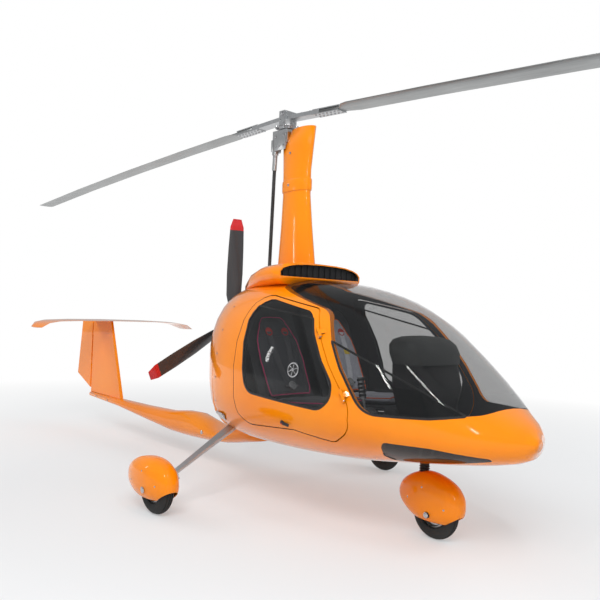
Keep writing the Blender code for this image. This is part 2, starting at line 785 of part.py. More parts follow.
roof_scoop = loft("roof_scoop", [scoop_ring(*row) for row in SCOOP_SECTIONS], "orange_paint")
duct_rows = [(SCOOP_SECTIONS[0][0] - 0.05, *SCOOP_SECTIONS[0][1:])] + SCOOP_SECTIONS[1:4]
duct = loft("scoop_duct", [scoop_ring(*row, SCOOP_WALL, SCOOP_LIP) for row in duct_rows])
cut(roof_scoop, duct, outer_seat, mast_seat)

# Rotor head on the mast
rotor_head = box("rotor_head", (-0.045, -0.048, 2.520), (0.045, 0.120, 2.625), "aluminium", bevel=0.006)
cut(rotor_head, mast_seat)
prerotator = rod("prerotator_drive", (-0.030, 0.095, 2.5192), (-0.030, 0.125, 1.40), 0.013, "black_trim", 14)
cut(prerotator, outer_seat)
scoop_seat = loft("scoop_seat", [scoop_ring(*row, -SEAT_GAP) for row in SCOOP_SECTIONS])
cut(prerotator, scoop_seat, mast_seat)

rotor_spin = Matrix.Rotation(ROTOR_PARK_YAW, 4, "Z")


def spun(obj):
    """Turn a rotor piece to where the rotor is parked."""
    obj.data.transform(rotor_spin)
    return obj


TOWER_INNER = 0.049
TOWER_OUTER = 0.061
HUB_BASE = 2.625 + SEAT_GAP
tower = rod("teeter_tower", (0, 0, HUB_BASE), (0, 0, HUB_BASE + 0.022), 0.062, "aluminium", 28)
for side_name, side in SIDES:
    low, high = sorted((side * TOWER_INNER, side * TOWER_OUTER))
    cheek = box("cheek_" + side_name, (low, -0.030, HUB_BASE + 0.004), (high, 0.030, TEETER_HEIGHT + 0.022))
    join(tower, spun(cheek))
join(tower, spun(rod("teeter_bolt", (-0.075, 0, TEETER_HEIGHT), (0.075, 0, TEETER_HEIGHT), 0.008, sides=16)))

# Hub bar and blades
BAR_HALF_WIDTH = 0.045
BAR_HALF_HEIGHT = 0.015
FORK_INNER = 0.30
FORK_OUTER = 0.55
PLATE_THICKNESS = 0.008
GRIP_HALF = 0.011


def droop(radius):
    extra = max(radius - 0.6, 0.0)
    return ROTOR_HUB_HEIGHT - DROOP_SLOPE * radius - DROOP_CURVE * extra**2


hub_bar = box(
    "hub_bar",
    (-TOWER_INNER + 0.0003, -0.036, ROTOR_HUB_HEIGHT - BAR_HALF_HEIGHT - 0.002),
    (TOWER_INNER - 0.0003, 0.036, TEETER_HEIGHT + 0.020),
    "aluminium",
)
spun(hub_bar)
cut(hub_bar, spun(rod("bolt_hole", (-0.08, 0, TEETER_HEIGHT), (0.08, 0, TEETER_HEIGHT), 0.0083, sides=16)))
tilt = atan2(DROOP_SLOPE, 1)
for end_name, way in (("front", -1), ("rear", 1)):
    slope = Matrix.Translation((0, 0, ROTOR_HUB_HEIGHT)) @ Matrix.Rotation(-way * tilt, 4, "X")
    pieces = [
        ("web", BAR_HALF_WIDTH - 0.002, (0.01, BLADE_ROOT_RADIUS - 0.001), (-BAR_HALF_HEIGHT, BAR_HALF_HEIGHT)),
        ("upper", BAR_HALF_WIDTH, (FORK_INNER, FORK_OUTER), (GRIP_HALF + 0.0003, GRIP_HALF + PLATE_THICKNESS)),
        ("lower", BAR_HALF_WIDTH, (FORK_INNER, FORK_OUTER), (-GRIP_HALF - PLATE_THICKNESS, -GRIP_HALF - 0.0003)),
    ]
    for kind, half, span, rise in pieces:
        low_y, high_y = sorted((way * span[0], way * span[1]))
        piece = box(f"bar_{kind}_{end_name}", (-half, low_y, rise[0]), (half, high_y, rise[1]))
        piece.data.transform(slope)
        join(hub_bar, spun(piece))

# columns: radius, chord, thickness, nose share of the chord ahead of the spar
BLADE_STATIONS = [
    (BLADE_ROOT_RADIUS, 0.085, GRIP_HALF * 2),
    (FORK_OUTER + 0.003, 0.085, GRIP_HALF * 2),
    (0.600, ROTOR_CHORD * 0.85, BLADE_THICKNESS),
    (0.660, ROTOR_CHORD, BLADE_THICKNESS),
    (1.300, ROTOR_CHORD, BLADE_THICKNESS),
    (2.200, ROTOR_CHORD, BLADE_THICKNESS),
    (3.200, ROTOR_CHORD, BLADE_THICKNESS),
    (ROTOR_RADIUS, ROTOR_CHORD, BLADE_THICKNESS),
]
BLADE_PITCH = radians(4.0)


def blade_ring(radius, chord, thickness, way):
    """One section: flat grip near the hub, then a wing section whose nose leads round the circle."""
    grip = radius < FORK_OUTER + 0.01
    ring = []
    for i in range(16):
        angle = 2 * pi * (i + 0.5) / 16
        power = 8.0 if grip else 2.0
        along = chord / 2 * curve_power(cos(angle), power)
        across = thickness / 2 * curve_power(sin(angle), power)
        if not grip:
            across *= 1 + 0.65 * cos(angle)
            across *= 0.72
            along += chord * 0.04
        pitch = 0.0 if grip else BLADE_PITCH
        lead = along * cos(pitch) - across * sin(pitch)
        rise = along * sin(pitch) + across * cos(pitch)
        ring.append((-way * -lead, way * radius, droop(radius) + rise))
    return ring


for end_name, way in (("front", -1), ("rear", 1)):
    spun(loft("rotor_blade_" + end_name, [blade_ring(*row, way) for row in BLADE_STATIONS], "aluminium"))


# Wheels
def tyre_profile(radius, width):
    """Closed half-round tyre section as (radius, height), outer side first from the top."""
    bead, half = radius * 0.56, width / 2
    crown = [(radius - half * (1 - cos(a)), half * sin(a)) for a in [radians(v) for v in (80, 50, 25, 0, -25, -50, -80)]]
    return [(bead + 0.012, half * 0.86)] + crown + [(bead + 0.012, -half * 0.86), (bead, -half * 0.62), (bead, half * 0.62)]


def rim_profile(radius, width):
    bead, half = radius * 0.56 - SEAT_GAP, width / 2
    bore = AXLE_RADIUS + SEAT_GAP
    return [
        (bead, half * 0.58),
        (bead, -half * 0.58),
        (bead - 0.010, -half * 0.72),
        (bead - 0.016, -half * 0.30),
        (0.038, -half * 0.20),
        (0.030, -half * 0.80),
        (bore, -half * 0.80),
        (bore, half * 0.80),
        (0.030, half * 0.80),
        (0.038, half * 0.20),
        (bead - 0.016, half * 0.30),
        (bead - 0.010, half * 0.72),
    ]


def add_wheel(tag, centre, radius, width):
    turned("tyre_" + tag, tyre_profile(radius, width), centre, (1, 0, 0), "tyre_rubber")
    turned("rim_" + tag, rim_profile(radius, width), centre, (1, 0, 0), "aluminium")


PANT_POWER = 2.5


def pant_ring(y, bottom, top, half, x, inset=0.0, count=16):
    middle, rise = (bottom + top) / 2, (top - bottom) / 2 - inset
    ring = []
    for i in range(count):
        angle = 2 * pi * (i + 0.5) / count
        across, up = curve_power(cos(angle), PANT_POWER), curve_power(sin(angle), PANT_POWER)
        ring.append((x + (half - inset) * across, y, middle + rise * up))
    return ring


# Wheel pant sections from the wheel's centre: y, bottom z, top z, half width
MAIN_PANT = [
    (-0.190, 0.165, 0.225, 0.022),
    (-0.172, 0.125, 0.262, 0.050),
    (-0.120, 0.090, 0.308, 0.078),
    (-0.030, 0.070, 0.340, 0.098),
    (0.070, 0.070, 0.345, 0.100),
    (0.165, 0.088, 0.330, 0.090),
    (0.245, 0.115, 0.300, 0.068),
    (0.305, 0.150, 0.258, 0.038),
    (0.330, 0.180, 0.225, 0.016),
]
NOSE_PANT = [
    (-0.187, 0.180, 0.245, 0.022),
    (-0.168, 0.140, 0.285, 0.050),
    (-0.115, 0.102, 0.335, 0.078),
    (-0.025, 0.082, 0.370, 0.092),
    (0.060, 0.085, 0.380, 0.092),
    (0.145, 0.110, 0.358, 0.078),
    (0.220, 0.155, 0.312, 0.048),
    (0.258, 0.195, 0.262, 0.020),
]
PANT_WALL = 0.008
PANT_BOTTOM = 0.108
WHEEL_ROOM = 0.007


def add_pant(tag, rows, x, y, tyre_radius, tyre_width):
    rows = [(y + dy, low, high, half) for dy, low, high, half in rows]
    pant = loft("pant_" + tag, [pant_ring(*row, x) for row in rows], "orange_paint")
    core = loft("pant_core_" + tag, [pant_ring(*row, x, PANT_WALL) for row in rows[1:-1]])
    room = tyre_width / 2 + WHEEL_ROOM
    wheel_room = rod("wheel_room_" + tag, (x - room, y, tyre_radius), (x + room, y, tyre_radius), tyre_radius + WHEEL_ROOM)
    cut(pant, core, wheel_room, box("pant_floor_" + tag, (x - 0.3, y - 0.5, -0.1), (x + 0.3, y + 0.5, PANT_BOTTOM)))
    return pant


# Main gear
LEG_ROOT = (0.36, -0.060, 0.530)
LEG_FOOT_HEIGHT = 0.235
LEG_FOOT_X = TRACK / 2 - 0.118
for side_name, side in SIDES:
    wheel_x = side * TRACK / 2
    add_wheel(side_name, (wheel_x, MAIN_WHEEL_Y, MAIN_TYRE_RADIUS), MAIN_TYRE_RADIUS, MAIN_TYRE_WIDTH)
    pant = add_pant(side_name, MAIN_PANT, wheel_x, MAIN_WHEEL_Y, MAIN_TYRE_RADIUS, MAIN_TYRE_WIDTH)
    foot = Vector((side * LEG_FOOT_X, MAIN_WHEEL_Y, LEG_FOOT_HEIGHT))
    root = Vector((side * LEG_ROOT[0], LEG_ROOT[1], LEG_ROOT[2]))
    rings = []
    for share in (0.0, 0.25, 0.5, 0.75, 1.0):
        centre = root.lerp(foot, share)
        half_y, half_z = 0.046 - 0.020 * share, 0.016 - 0.006 * share
        corners = [(-half_y, -half_z, 0.006), (half_y, -half_z, 0.006), (half_y, half_z, 0.006), (-half_y, half_z, 0.006)]
        rings.append([(centre.x, centre.y + a, centre.z + b) for a, b in rounded(corners, 0, 2)])
    leg = loft("gear_leg_" + side_name, rings, "aluminium")
    cut(leg, outer_seat)
    plate_low = (min(side * (LEG_FOOT_X - 0.012), side * (LEG_FOOT_X + 0.006)), MAIN_WHEEL_Y - 0.038, 0.125)
    plate_high = (max(side * (LEG_FOOT_X - 0.012), side * (LEG_FOOT_X + 0.006)), MAIN_WHEEL_Y + 0.038, LEG_FOOT_HEIGHT)
    join(leg, box("foot_plate_" + side_name, plate_low, plate_high))
    axle_start = Vector((side * LEG_FOOT_X, MAIN_WHEEL_Y, MAIN_TYRE_RADIUS))
    axle_end = Vector((wheel_x + side * 0.101, MAIN_WHEEL_Y, MAIN_TYRE_RADIUS))
    join(leg, rod("axle_" + side_name, axle_start, axle_end, AXLE_RADIUS, sides=24))
    hole_start = Vector((wheel_x - side * 0.16, MAIN_WHEEL_Y, MAIN_TYRE_RADIUS))
    hole_end = Vector((wheel_x - side * 0.06, MAIN_WHEEL_Y, MAIN_TYRE_RADIUS))
    cut(pant, rod("axle_hole_" + side_name, hole_start, hole_end, 0.062, sides=28))
    exit_end = Vector((wheel_x + side * 0.16, MAIN_WHEEL_Y, MAIN_TYRE_RADIUS))
    cut(pant, rod("axle_exit_" + side_name, hole_end, exit_end, AXLE_RADIUS + SEAT_GAP, sides=24))

# Nose leg
nose_centre = Vector((0, NOSE_WHEEL_Y, NOSE_TYRE_RADIUS))
add_wheel("nose", nose_centre, NOSE_TYRE_RADIUS, NOSE_TYRE_WIDTH)
nose_pant = add_pant("nose", NOSE_PANT, 0, NOSE_WHEEL_Y, NOSE_TYRE_RADIUS, NOSE_TYRE_WIDTH)
STEM_Y = NOSE_WHEEL_Y + 0.090
STEM_RADIUS = 0.022
FORK_X = 0.056
nose_fork = rod("nose_fork", (0, STEM_Y, 0.308), (0, STEM_Y, 0.4515), STEM_RADIUS, "black_trim", 24)
join(nose_fork, box("fork_crown", (-FORK_X - 0.004, STEM_Y - 0.030, 0.300), (FORK_X + 0.004, STEM_Y + 0.024, 0.316)))
for side_name, side in SIDES:
    top = Vector((side * FORK_X, STEM_Y - 0.006, 0.310))
    end = Vector((side * FORK_X, NOSE_WHEEL_Y, NOSE_TYRE_RADIUS))
    join(nose_fork, rod("fork_arm_" + side_name, top, end, 0.0085, sides=12))
    eye_start, eye_end = end - Vector((side * 0.007, 0, 0)), end + Vector((side * 0.038, 0, 0))
    join(nose_fork, rod("fork_eye_" + side_name, eye_start, eye_end, 0.018, sides=24))
nose_axle_x = FORK_X + 0.030
join(nose_fork, rod("axle_nose", (-nose_axle_x, *nose_centre.yz), (nose_axle_x, *nose_centre.yz), AXLE_RADIUS, sides=24))
cut(nose_pant, rod("fork_eye_hole", (-0.2, *nose_centre.yz), (0.2, *nose_centre.yz), 0.018 + SEAT_GAP, sides=24))
cut(cabin_hull, rod("stem_hole", (0, STEM_Y, 0.30), (0, STEM_Y, 0.50), STEM_RADIUS + SEAT_GAP, sides=24))
cut(nose_pant, rod("stem_slot", (0, STEM_Y, 0.330), (0, STEM_Y, 0.42), STEM_RADIUS + SEAT_GAP, sides=24))
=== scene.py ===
# %% [markdown]
# # A closed two-seat gyrocopter
# The solid parts of the machine come from the frame, which already holds every rigid panel, wheel and
# blade in the right place. This lesson dresses them: paint and glass, rubber seals, sewn seats, bolts
# and dials. Each piece rides on the body that carries it, so doors, wheels and rotor can still move.

# %% Load the frame
import bpy
import bmesh
from math import atan2, cos, exp, pi, radians, sin
from mathutils import Matrix, Vector


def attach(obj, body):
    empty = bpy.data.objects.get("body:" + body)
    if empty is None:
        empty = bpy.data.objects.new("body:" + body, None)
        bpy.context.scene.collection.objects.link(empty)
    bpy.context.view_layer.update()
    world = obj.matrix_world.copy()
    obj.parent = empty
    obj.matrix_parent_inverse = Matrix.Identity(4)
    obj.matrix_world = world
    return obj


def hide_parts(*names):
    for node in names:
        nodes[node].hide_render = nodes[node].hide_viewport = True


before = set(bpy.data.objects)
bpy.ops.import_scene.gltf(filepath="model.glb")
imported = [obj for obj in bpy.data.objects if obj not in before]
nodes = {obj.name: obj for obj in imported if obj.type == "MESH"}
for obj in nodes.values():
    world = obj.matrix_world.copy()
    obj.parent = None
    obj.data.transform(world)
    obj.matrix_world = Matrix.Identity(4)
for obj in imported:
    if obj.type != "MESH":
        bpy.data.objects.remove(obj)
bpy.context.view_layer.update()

# %% [markdown]
# ## Camera
# The machine is seen from its starboard bow, a little above knee height. The camera is given by three
# directions instead of angles: where it looks, its right and its up. The small turn about the viewing
# line and the sideways shift repeat how the picture was held and cut.

# %% Camera
CAMERA_PLACE = (-3.258, -3.856, 1.283)
PITCH = radians(0.944)
ROLL = radians(1.98)
SENSOR_MM = 36
LENS_MM = 40.97
SIDE_SHIFT = 0.00627

look_flat = Vector((0.6616, 0.7499, 0)).normalized()
right = Vector((0.7499, -0.6616, 0)).normalized()
look = look_flat * cos(PITCH) + Vector((0, 0, 1)) * sin(PITCH)
camera_up = Vector((0, 0, 1)) * cos(PITCH) - look_flat * sin(PITCH)

camera = bpy.data.objects.new("camera", bpy.data.cameras.new("camera"))
bpy.context.scene.collection.objects.link(camera)
camera.data.sensor_width = SENSOR_MM
camera.data.lens = LENS_MM
camera.data.shift_x = SIDE_SHIFT
camera.data.clip_end = 200
axes = Matrix((right, camera_up, -look)).transposed().to_4x4()
camera.matrix_world = Matrix.Translation(CAMERA_PLACE) @ axes @ Matrix.Rotation(ROLL, 4, "Z")
bpy.context.scene.camera = camera
bpy.context.scene.view_settings.view_transform = "Standard"
print("camera lens", camera.data.lens)

# %% [markdown]
# ## Node helpers
# Shader trees are long to write by hand. One small function adds a node, sets its values and joins its
# inputs. The short ones below it make the steps that nearly every material repeats: noise, a blend of two
# tones, a value brought into a range, and a bump. So each material later on reads as a list of steps.


# %% Node helpers
def add(tree, kind, inputs=None, **settings):
    """Add a shader node. An input may be a plain value or another node's output."""
    made = tree.nodes.new("ShaderNode" + kind)
    for key, value in settings.items():
        setattr(made, key, value)
    for key, value in (inputs or {}).items():
        if isinstance(value, bpy.types.NodeSocket):
            tree.links.new(value, made.inputs[key])
        else:
            made.inputs[key].default_value = value
    return made


def sheet_of_nodes(name):
    """A new empty material, its tree, and the place of each point on its object."""
    made = bpy.data.materials.new(name)
    made.use_nodes = True
    made.node_tree.nodes.clear()
    return made, made.node_tree, add(made.node_tree, "TexCoord").outputs["Object"]


def surface(tree, inputs):
    """The main shader, joined to the material's output."""
    shader = add(tree, "BsdfPrincipled", inputs)
    add(tree, "OutputMaterial", {"Surface": shader.outputs[0]})


def math(tree, operation, first, second=0.0, third=0.0):
    return add(tree, "Math", {0: first, 1: second, 2: third}, operation=operation).outputs[0]


def noise(tree, place, scale, detail):
    return add(tree, "TexNoise", {"Vector": place, "Scale": scale, "Detail": detail}).outputs["Fac"]


def two_tones(tree, factor, dark, light, low=0.0, high=1.0):
    """A blend from a dark tone to a light one, between two values of the factor."""
    blend = add(tree, "ValToRGB", {"Fac": factor})
    first, last = blend.color_ramp.elements
    first.position, last.position = low, high
    first.color, last.color = (*dark, 1), (*light, 1)
    return blend.outputs[0]


def blended(tree, factor, first, second):
    made = add(tree, "Mix", {"Factor": factor, "A": first, "B": second}, data_type="RGBA")
    return made.outputs["Result"]


def ranged(tree, value, low, high):
    return add(tree, "MapRange", {"Value": value, "To Min": low, "To Max": high}).outputs["Result"]


def bump(tree, height, strength, distance=0.001):
    return add(tree, "Bump", {"Height": height, "Strength": strength, "Distance": distance}).outputs[0]


# %% [markdown]
# ## Floor, world and lamps
# A pale studio floor catches a soft shadow. Far away it must melt into the white background, so its
# material fades to plain white for the eye and for reflections only, and sends no extra light onto the
# machine. The large soft lamps are kept out of reflections, and narrow tubes give the long bright
# streaks that gloss paint and glass show in a hangar.

# %% Floor and world
FLOOR_SIZE = 60.0
# The floor is partly white up to the near distance, and all white from the far one on
FADE_NEAR, FADE_FAR = 2.0, 7.5
NEAR_WHITE = 0.34
SKY_LIGHT = 0.50
MIRRORED_SKY = 0.48

floor_mesh = bmesh.new()
bmesh.ops.create_grid(floor_mesh, x_segments=2, y_segments=2, size=FLOOR_SIZE / 2)
floor_data = bpy.data.meshes.new("studio_floor")
floor_mesh.to_mesh(floor_data)
floor_mesh.free()
studio_floor = bpy.data.objects.new("studio_floor", floor_data)
bpy.context.scene.collection.objects.link(studio_floor)

floor_paint, tree, place = sheet_of_nodes("pale_floor")
matt = add(tree, "BsdfDiffuse", {"Color": (0.74, 0.755, 0.77, 1)})
white = add(tree, "Emission", {"Color": (1, 1, 1, 1), "Strength": 1.0})
distance = add(tree, "VectorMath", {0: place}, operation="LENGTH").outputs["Value"]
fading = {"From Min": FADE_NEAR, "From Max": FADE_FAR, "To Min": NEAR_WHITE, "To Max": 1.0}
far = add(tree, "MapRange", {"Value": distance, **fading}).outputs["Result"]
path = add(tree, "LightPath").outputs
seen = math(tree, "MAXIMUM", path["Is Camera Ray"], path["Is Glossy Ray"])
seen = math(tree, "MAXIMUM", seen, path["Is Transmission Ray"])
share = math(tree, "MULTIPLY", far, seen)
fade = add(tree, "MixShader", {0: share, 1: matt.outputs[0], 2: white.outputs[0]})
add(tree, "OutputMaterial", {"Surface": fade.outputs[0]})
floor_data.materials.append(floor_paint)

world = bpy.data.worlds.new("studio_world")
bpy.context.scene.world = world
world.use_nodes = True
tree = world.node_tree
tree.nodes.clear()
path = add(tree, "LightPath").outputs
seen = math(tree, "MAXIMUM", path["Is Camera Ray"], path["Is Transmission Ray"])
soft = add(tree, "Background", {"Color": (0.97, 0.985, 1, 1), "Strength": SKY_LIGHT})
clear = add(tree, "Background", {"Color": (1, 1, 1, 1), "Strength": 1.0})
hall = add(tree, "Background", {"Color": (0.98, 0.99, 1, 1), "Strength": MIRRORED_SKY})
mixed = add(tree, "MixShader", {0: seen, 1: soft.outputs[0], 2: clear.outputs[0]})
mixed = add(tree, "MixShader", {0: path["Is Glossy Ray"], 1: mixed.outputs[0], 2: hall.outputs[0]})
add(tree, "OutputWorld", {"Surface": mixed.outputs[0]})

# %% Lamps
# columns: name, place, aimed at, width, height, watts
LAMPS = [
    ("soft_key", (-4.5, -4.8, 5.6), (0, -0.6, 0.9), 3.4, 2.2, 265),
    ("soft_fill", (5.2, -2.6, 4.6), (0, -0.6, 0.9), 3.0, 3.0, 95),
    ("soft_rear", (-3.0, 5.5, 4.2), (0, 0.8, 0.8), 3.0, 2.0, 95),
    ("tube_side", (-4.0, 3.6, 2.35), (0, -0.1, 1.7), 0.13, 1.1, 9),
    ("tube_near", (-3.6, -2.2, 4.2), (0, -0.8, 0.9), 0.12, 1.6, 26),
    ("tube_high", (-1.2, -3.4, 5.2), (0, -0.8, 0.9), 0.12, 1.6, 26),
    ("tube_front", (-2.6, -6.0, 3.4), (0, -1.2, 0.8), 0.12, 1.2, 20),
]
for name, spot, target, width, height, watts in LAMPS:
    lamp = bpy.data.lights.new(name, "AREA")
    lamp.shape = "RECTANGLE"
    lamp.size = width
    lamp.size_y = height
    lamp.energy = watts
    holder = bpy.data.objects.new(name, lamp)
    bpy.context.scene.collection.objects.link(holder)
    holder.location = spot
    holder.rotation_euler = (Vector(target) - Vector(spot)).to_track_quat("-Z", "Y").to_euler()
    holder.visible_glossy = name.startswith("tube")
print("lamps:", len(LAMPS))

# %% [markdown]
# ## Paint
# The shell is glass fibre under orange gloss paint. Gloss paint is two layers: colour below and clear
# lacquer above. The main shader has a coat for that. Real lacquer is never quite flat, so a fine noise
# gives it a trace of orange peel, and a slow one shifts its colour by a hair. The cabin shell is dark
# inside: the shader compares each face's direction with the way out from the shell's middle, so one
# closed solid can be orange outside and lined inside.

# %% Paint
ORANGE = (0.98, 0.285, 0.002)
ORANGE_DEEP = (0.95, 0.245, 0.002)
LINING = (0.032, 0.033, 0.036)
LINING_WORN = (0.062, 0.062, 0.066)


def facing_inwards(tree, middle, reach):
    """1 where a face looks towards the middle of the shell and 0 where it looks out."""
    spot = add(tree, "TexCoord")
    away = add(tree, "VectorMath", {0: spot.outputs["Object"], 1: middle}, operation="SUBTRACT").outputs[0]
    away = add(tree, "VectorMath", {0: away, 1: reach}, operation="DIVIDE").outputs[0]
    away = add(tree, "VectorMath", {0: away}, operation="NORMALIZE").outputs[0]
    inputs = {0: away, 1: spot.outputs["Normal"]}
    turned_out = add(tree, "VectorMath", inputs, operation="DOT_PRODUCT").outputs["Value"]
    return math(tree, "LESS_THAN", turned_out, 0.02)


def gloss_paint(name, middle=None, reach=None):
    """Lacquered orange paint, with a dark lining on its inner faces when a middle is given."""
    made, tree, place = sheet_of_nodes(name)
    colour = two_tones(tree, noise(tree, place, 1.7, 3.0), ORANGE_DEEP, ORANGE, 0.30, 0.70)
    rough = ranged(tree, noise(tree, place, 900.0, 1.0), 0.20, 0.34)
    coat = 1.0
    if middle:
        inner = facing_inwards(tree, middle, reach)
        cloth = two_tones(tree, noise(tree, place, 420.0, 4.0), LINING, LINING_WORN)
        colour = blended(tree, inner, colour, cloth)
        coat = ranged(tree, inner, 1.0, 0.0)
        rough = math(tree, "MAXIMUM", rough, math(tree, "MULTIPLY", inner, 0.85))
    surface(tree, {
        "Base Color": colour,
        "Roughness": rough,
        "Specular IOR Level": 0.05,
        "Coat Weight": coat,
        "Coat Roughness": 0.035,
        "Coat IOR": 1.38,
        "Normal": bump(tree, noise(tree, place, 260.0, 2.0), 0.018, 0.002),
    })
    return made


plain_paint = gloss_paint("orange_lacquer")
cabin_paint = gloss_paint("orange_lacquer_lined", (0, -0.65, 0.80), (0.67, 1.6, 0.62))
cowl_paint = gloss_paint("orange_lacquer_cowl", (0, -0.1, 0.98), (0.60, 1.2, 0.55))
scoop_paint = gloss_paint("orange_lacquer_scoop", (0, 0.20, 1.532), (0.35, 1.0, 0.05))
print("paints made:", 4)

# %% [markdown]
# ## Tinted glazing
# The panes are smoke-tinted sheet. Full refraction would block the lamps and leave the cabin black, so
# the tint is a dark layer that is partly clear, with a sharp gloss and a slight ripple on it.


# %% Tinted glazing
def smoked_sheet(name, darkness):
    made, tree, place = sheet_of_nodes(name)
    surface(tree, {
        "Base Color": (0.016, 0.017, 0.018, 1),
        "Roughness": ranged(tree, noise(tree, place, 5.0, 5.0), 0.010, 0.022),
        "Specular IOR Level": 0.55,
        "Alpha": darkness,
        "Normal": bump(tree, noise(tree, place, 3.0, 1.0), 0.02, 0.01),
    })
    return made


screen_glass = smoked_sheet("smoked_screen", 0.27)
chin_glass = smoked_sheet("smoked_chin", 0.72)

# %% [markdown]
# ## Metals, rubber and moulded parts
# Each metal gets the marks of how it was made. Extruded blades and rolled sheet have fine lines along
# their length, so the noise is stretched one way before it drives colour and bump. Rubber and moulded
# plastic have no direction, only grain and some dust.


# %% Brushed metal
def brushed_metal(name, dark, light, rough, stretch, lines=90.0):
    """Bare metal with fine lines. A stretch of less than 1 on an axis draws the lines out along it."""
    made, tree, place = sheet_of_nodes(name)
    drawn = add(tree, "VectorMath", {0: place, 1: stretch}, operation="MULTIPLY").outputs[0]
    fine = noise(tree, drawn, lines, 4.0)
    surface(tree, {
        "Base Color": two_tones(tree, math(tree, "MULTIPLY_ADD", fine, 0.5, 0.25), dark, light, 0.35, 0.65),
        "Roughness": ranged(tree, noise(tree, place, 4.0, 4.0), rough - 0.07, rough + 0.09),
        "Metallic": 1.0,
        "Normal": bump(tree, fine, 0.06),
    })
    return made


blade_metal = brushed_metal("drawn_blade_alloy", (0.30, 0.31, 0.31), (0.42, 0.43, 0.43), 0.34, (1, 0.02, 1))
milled_metal = brushed_metal("milled_alloy", (0.44, 0.45, 0.46), (0.60, 0.61, 0.62), 0.32, (1, 1, 0.2))
leg_metal = brushed_metal("leg_alloy", (0.50, 0.51, 0.52), (0.66, 0.67, 0.68), 0.38, (0.15, 1, 1))
EVENLY = (1, 1, 1)
bright_steel = brushed_metal("bright_steel", (0.45, 0.45, 0.46), (0.62, 0.62, 0.63), 0.24, EVENLY, 240.0)
cast_metal = brushed_metal("cast_alloy", (0.16, 0.165, 0.17), (0.27, 0.275, 0.28), 0.52, EVENLY, 160.0)


# %% Rubber and moulded plastic
def grained(name, dark, light, rough, scale, strength, coat=0.0):
    """Moulded or rubber surface: a pebbled grain, a slow change of tone and uneven dullness."""
    made, tree, place = sheet_of_nodes(name)
    grain = add(tree, "TexVoronoi", {"Vector": place, "Scale": scale}, feature="F1").outputs["Distance"]
    slow = noise(tree, place, 7.0, 6.0)
    surface(tree, {
        "Base Color": two_tones(tree, slow, dark, light, 0.35, 0.70),
        "Roughness": ranged(tree, slow, rough - 0.10, rough + 0.10),
        "Normal": bump(tree, grain, strength),
        "Coat Weight": coat,
        "Coat Roughness": 0.08,
    })
    return made


tyre_rubber = grained("tyre_rubber_dusty", (0.012, 0.012, 0.012), (0.028, 0.027, 0.026), 0.74, 700.0, 0.25)
seal_rubber = grained("seal_rubber", (0.008, 0.008, 0.008), (0.016, 0.016, 0.016), 0.42, 900.0, 0.12)
black_moulding = grained("black_moulding", (0.014, 0.014, 0.015), (0.026, 0.026, 0.028), 0.46, 620.0, 0.22)
grey_moulding = grained("grey_moulding", (0.045, 0.046, 0.050), (0.070, 0.071, 0.076), 0.60, 480.0, 0.30)
floor_mat = grained("ribbed_floor_mat", (0.020, 0.020, 0.021), (0.040, 0.040, 0.042), 0.82, 260.0, 0.6)
hose_rubber = grained("drive_hose", (0.016, 0.017, 0.018), (0.040, 0.042, 0.044), 0.50, 500.0, 0.20)

# %% [markdown]
# ## Propeller finish
# The blades are dark moulded composite with red tips, painted so that a spinning propeller shows as a
# ring. The mask is the distance from the shaft, so every tip gets the same band.

# %% Propeller finish
PROP_CENTRE = (0, 0.605, 1.175)
TIP_BAND_START = 0.745
prop_finish, tree, place = sheet_of_nodes("composite_blade")
from_shaft = add(tree, "VectorMath", {0: place, 1: PROP_CENTRE}, operation="DISTANCE").outputs["Value"]
weave = add(tree, "TexWave", {"Vector": place, "Scale": 60.0, "Distortion": 1.5}).outputs["Fac"]
slow = noise(tree, place, 9.0, 5.0)
composite = two_tones(tree, weave, (0.030, 0.031, 0.034), (0.052, 0.053, 0.057))
red_band = two_tones(tree, slow, (0.50, 0.010, 0.014), (0.66, 0.018, 0.020))
surface(tree, {
    "Base Color": blended(tree, math(tree, "GREATER_THAN", from_shaft, TIP_BAND_START), composite, red_band),
    "Roughness": ranged(tree, slow, 0.26, 0.48),
    "Normal": bump(tree, weave, 0.05),
    "Coat Weight": 0.4,
})

# %% Finishes of the solid pieces
WORN_BY = [
    (plain_paint, ("tail_boom", "fin", "rudder", "stabiliser", "mast_fairing")),
    (plain_paint, ("pant_starboard", "pant_port", "pant_nose")),
    (cabin_paint, ("cabin_hull", "door_starboard", "door_port")),
    (cowl_paint, ("engine_cowl",)),
    (scoop_paint, ("roof_scoop",)),
    (screen_glass, ("windscreen", "door_window_starboard", "door_window_port")),
    (chin_glass, ("chin_window_starboard", "chin_window_port")),
    (blade_metal, ("rotor_blade_front", "rotor_blade_rear")),
    (milled_metal, ("hub_bar", "teeter_tower", "rotor_head")),
    (milled_metal, ("rim_starboard", "rim_port", "rim_nose")),
    (leg_metal, ("gear_leg_starboard", "gear_leg_port")),
    (cast_metal, ("engine_block",)),
    (tyre_rubber, ("tyre_starboard", "tyre_port", "tyre_nose")),
    (black_moulding, ("instrument_panel", "nose_fork")),
    (hose_rubber, ("prerotator_drive",)),
    (grey_moulding, ("seat_starboard", "seat_port", "firewall", "seat_pad_starboard", "seat_pad_port")),
    (floor_mat, ("cabin_floor",)),
    (bright_steel, ("stick_starboard", "stick_port")),
    (prop_finish, ("propeller",)),
]
for finish, wearers in WORN_BY:
    for node in wearers:
        slots = nodes[node].data.materials
        if len(slots):
            slots[0] = finish
        else:
            slots.append(finish)
print("solid pieces with a finish:", sum(len(wearers) for _, wearers in WORN_BY))

# %% [markdown]
# ## The shell's surface as a formula
# Seals, trim and bolts must lie exactly on the shell. The shell is a row of rounded cross-sections from
# nose to tail. The table below repeats their sizes, and a smooth curve runs through it, so any point of
# the skin and the way out from it can be worked out.

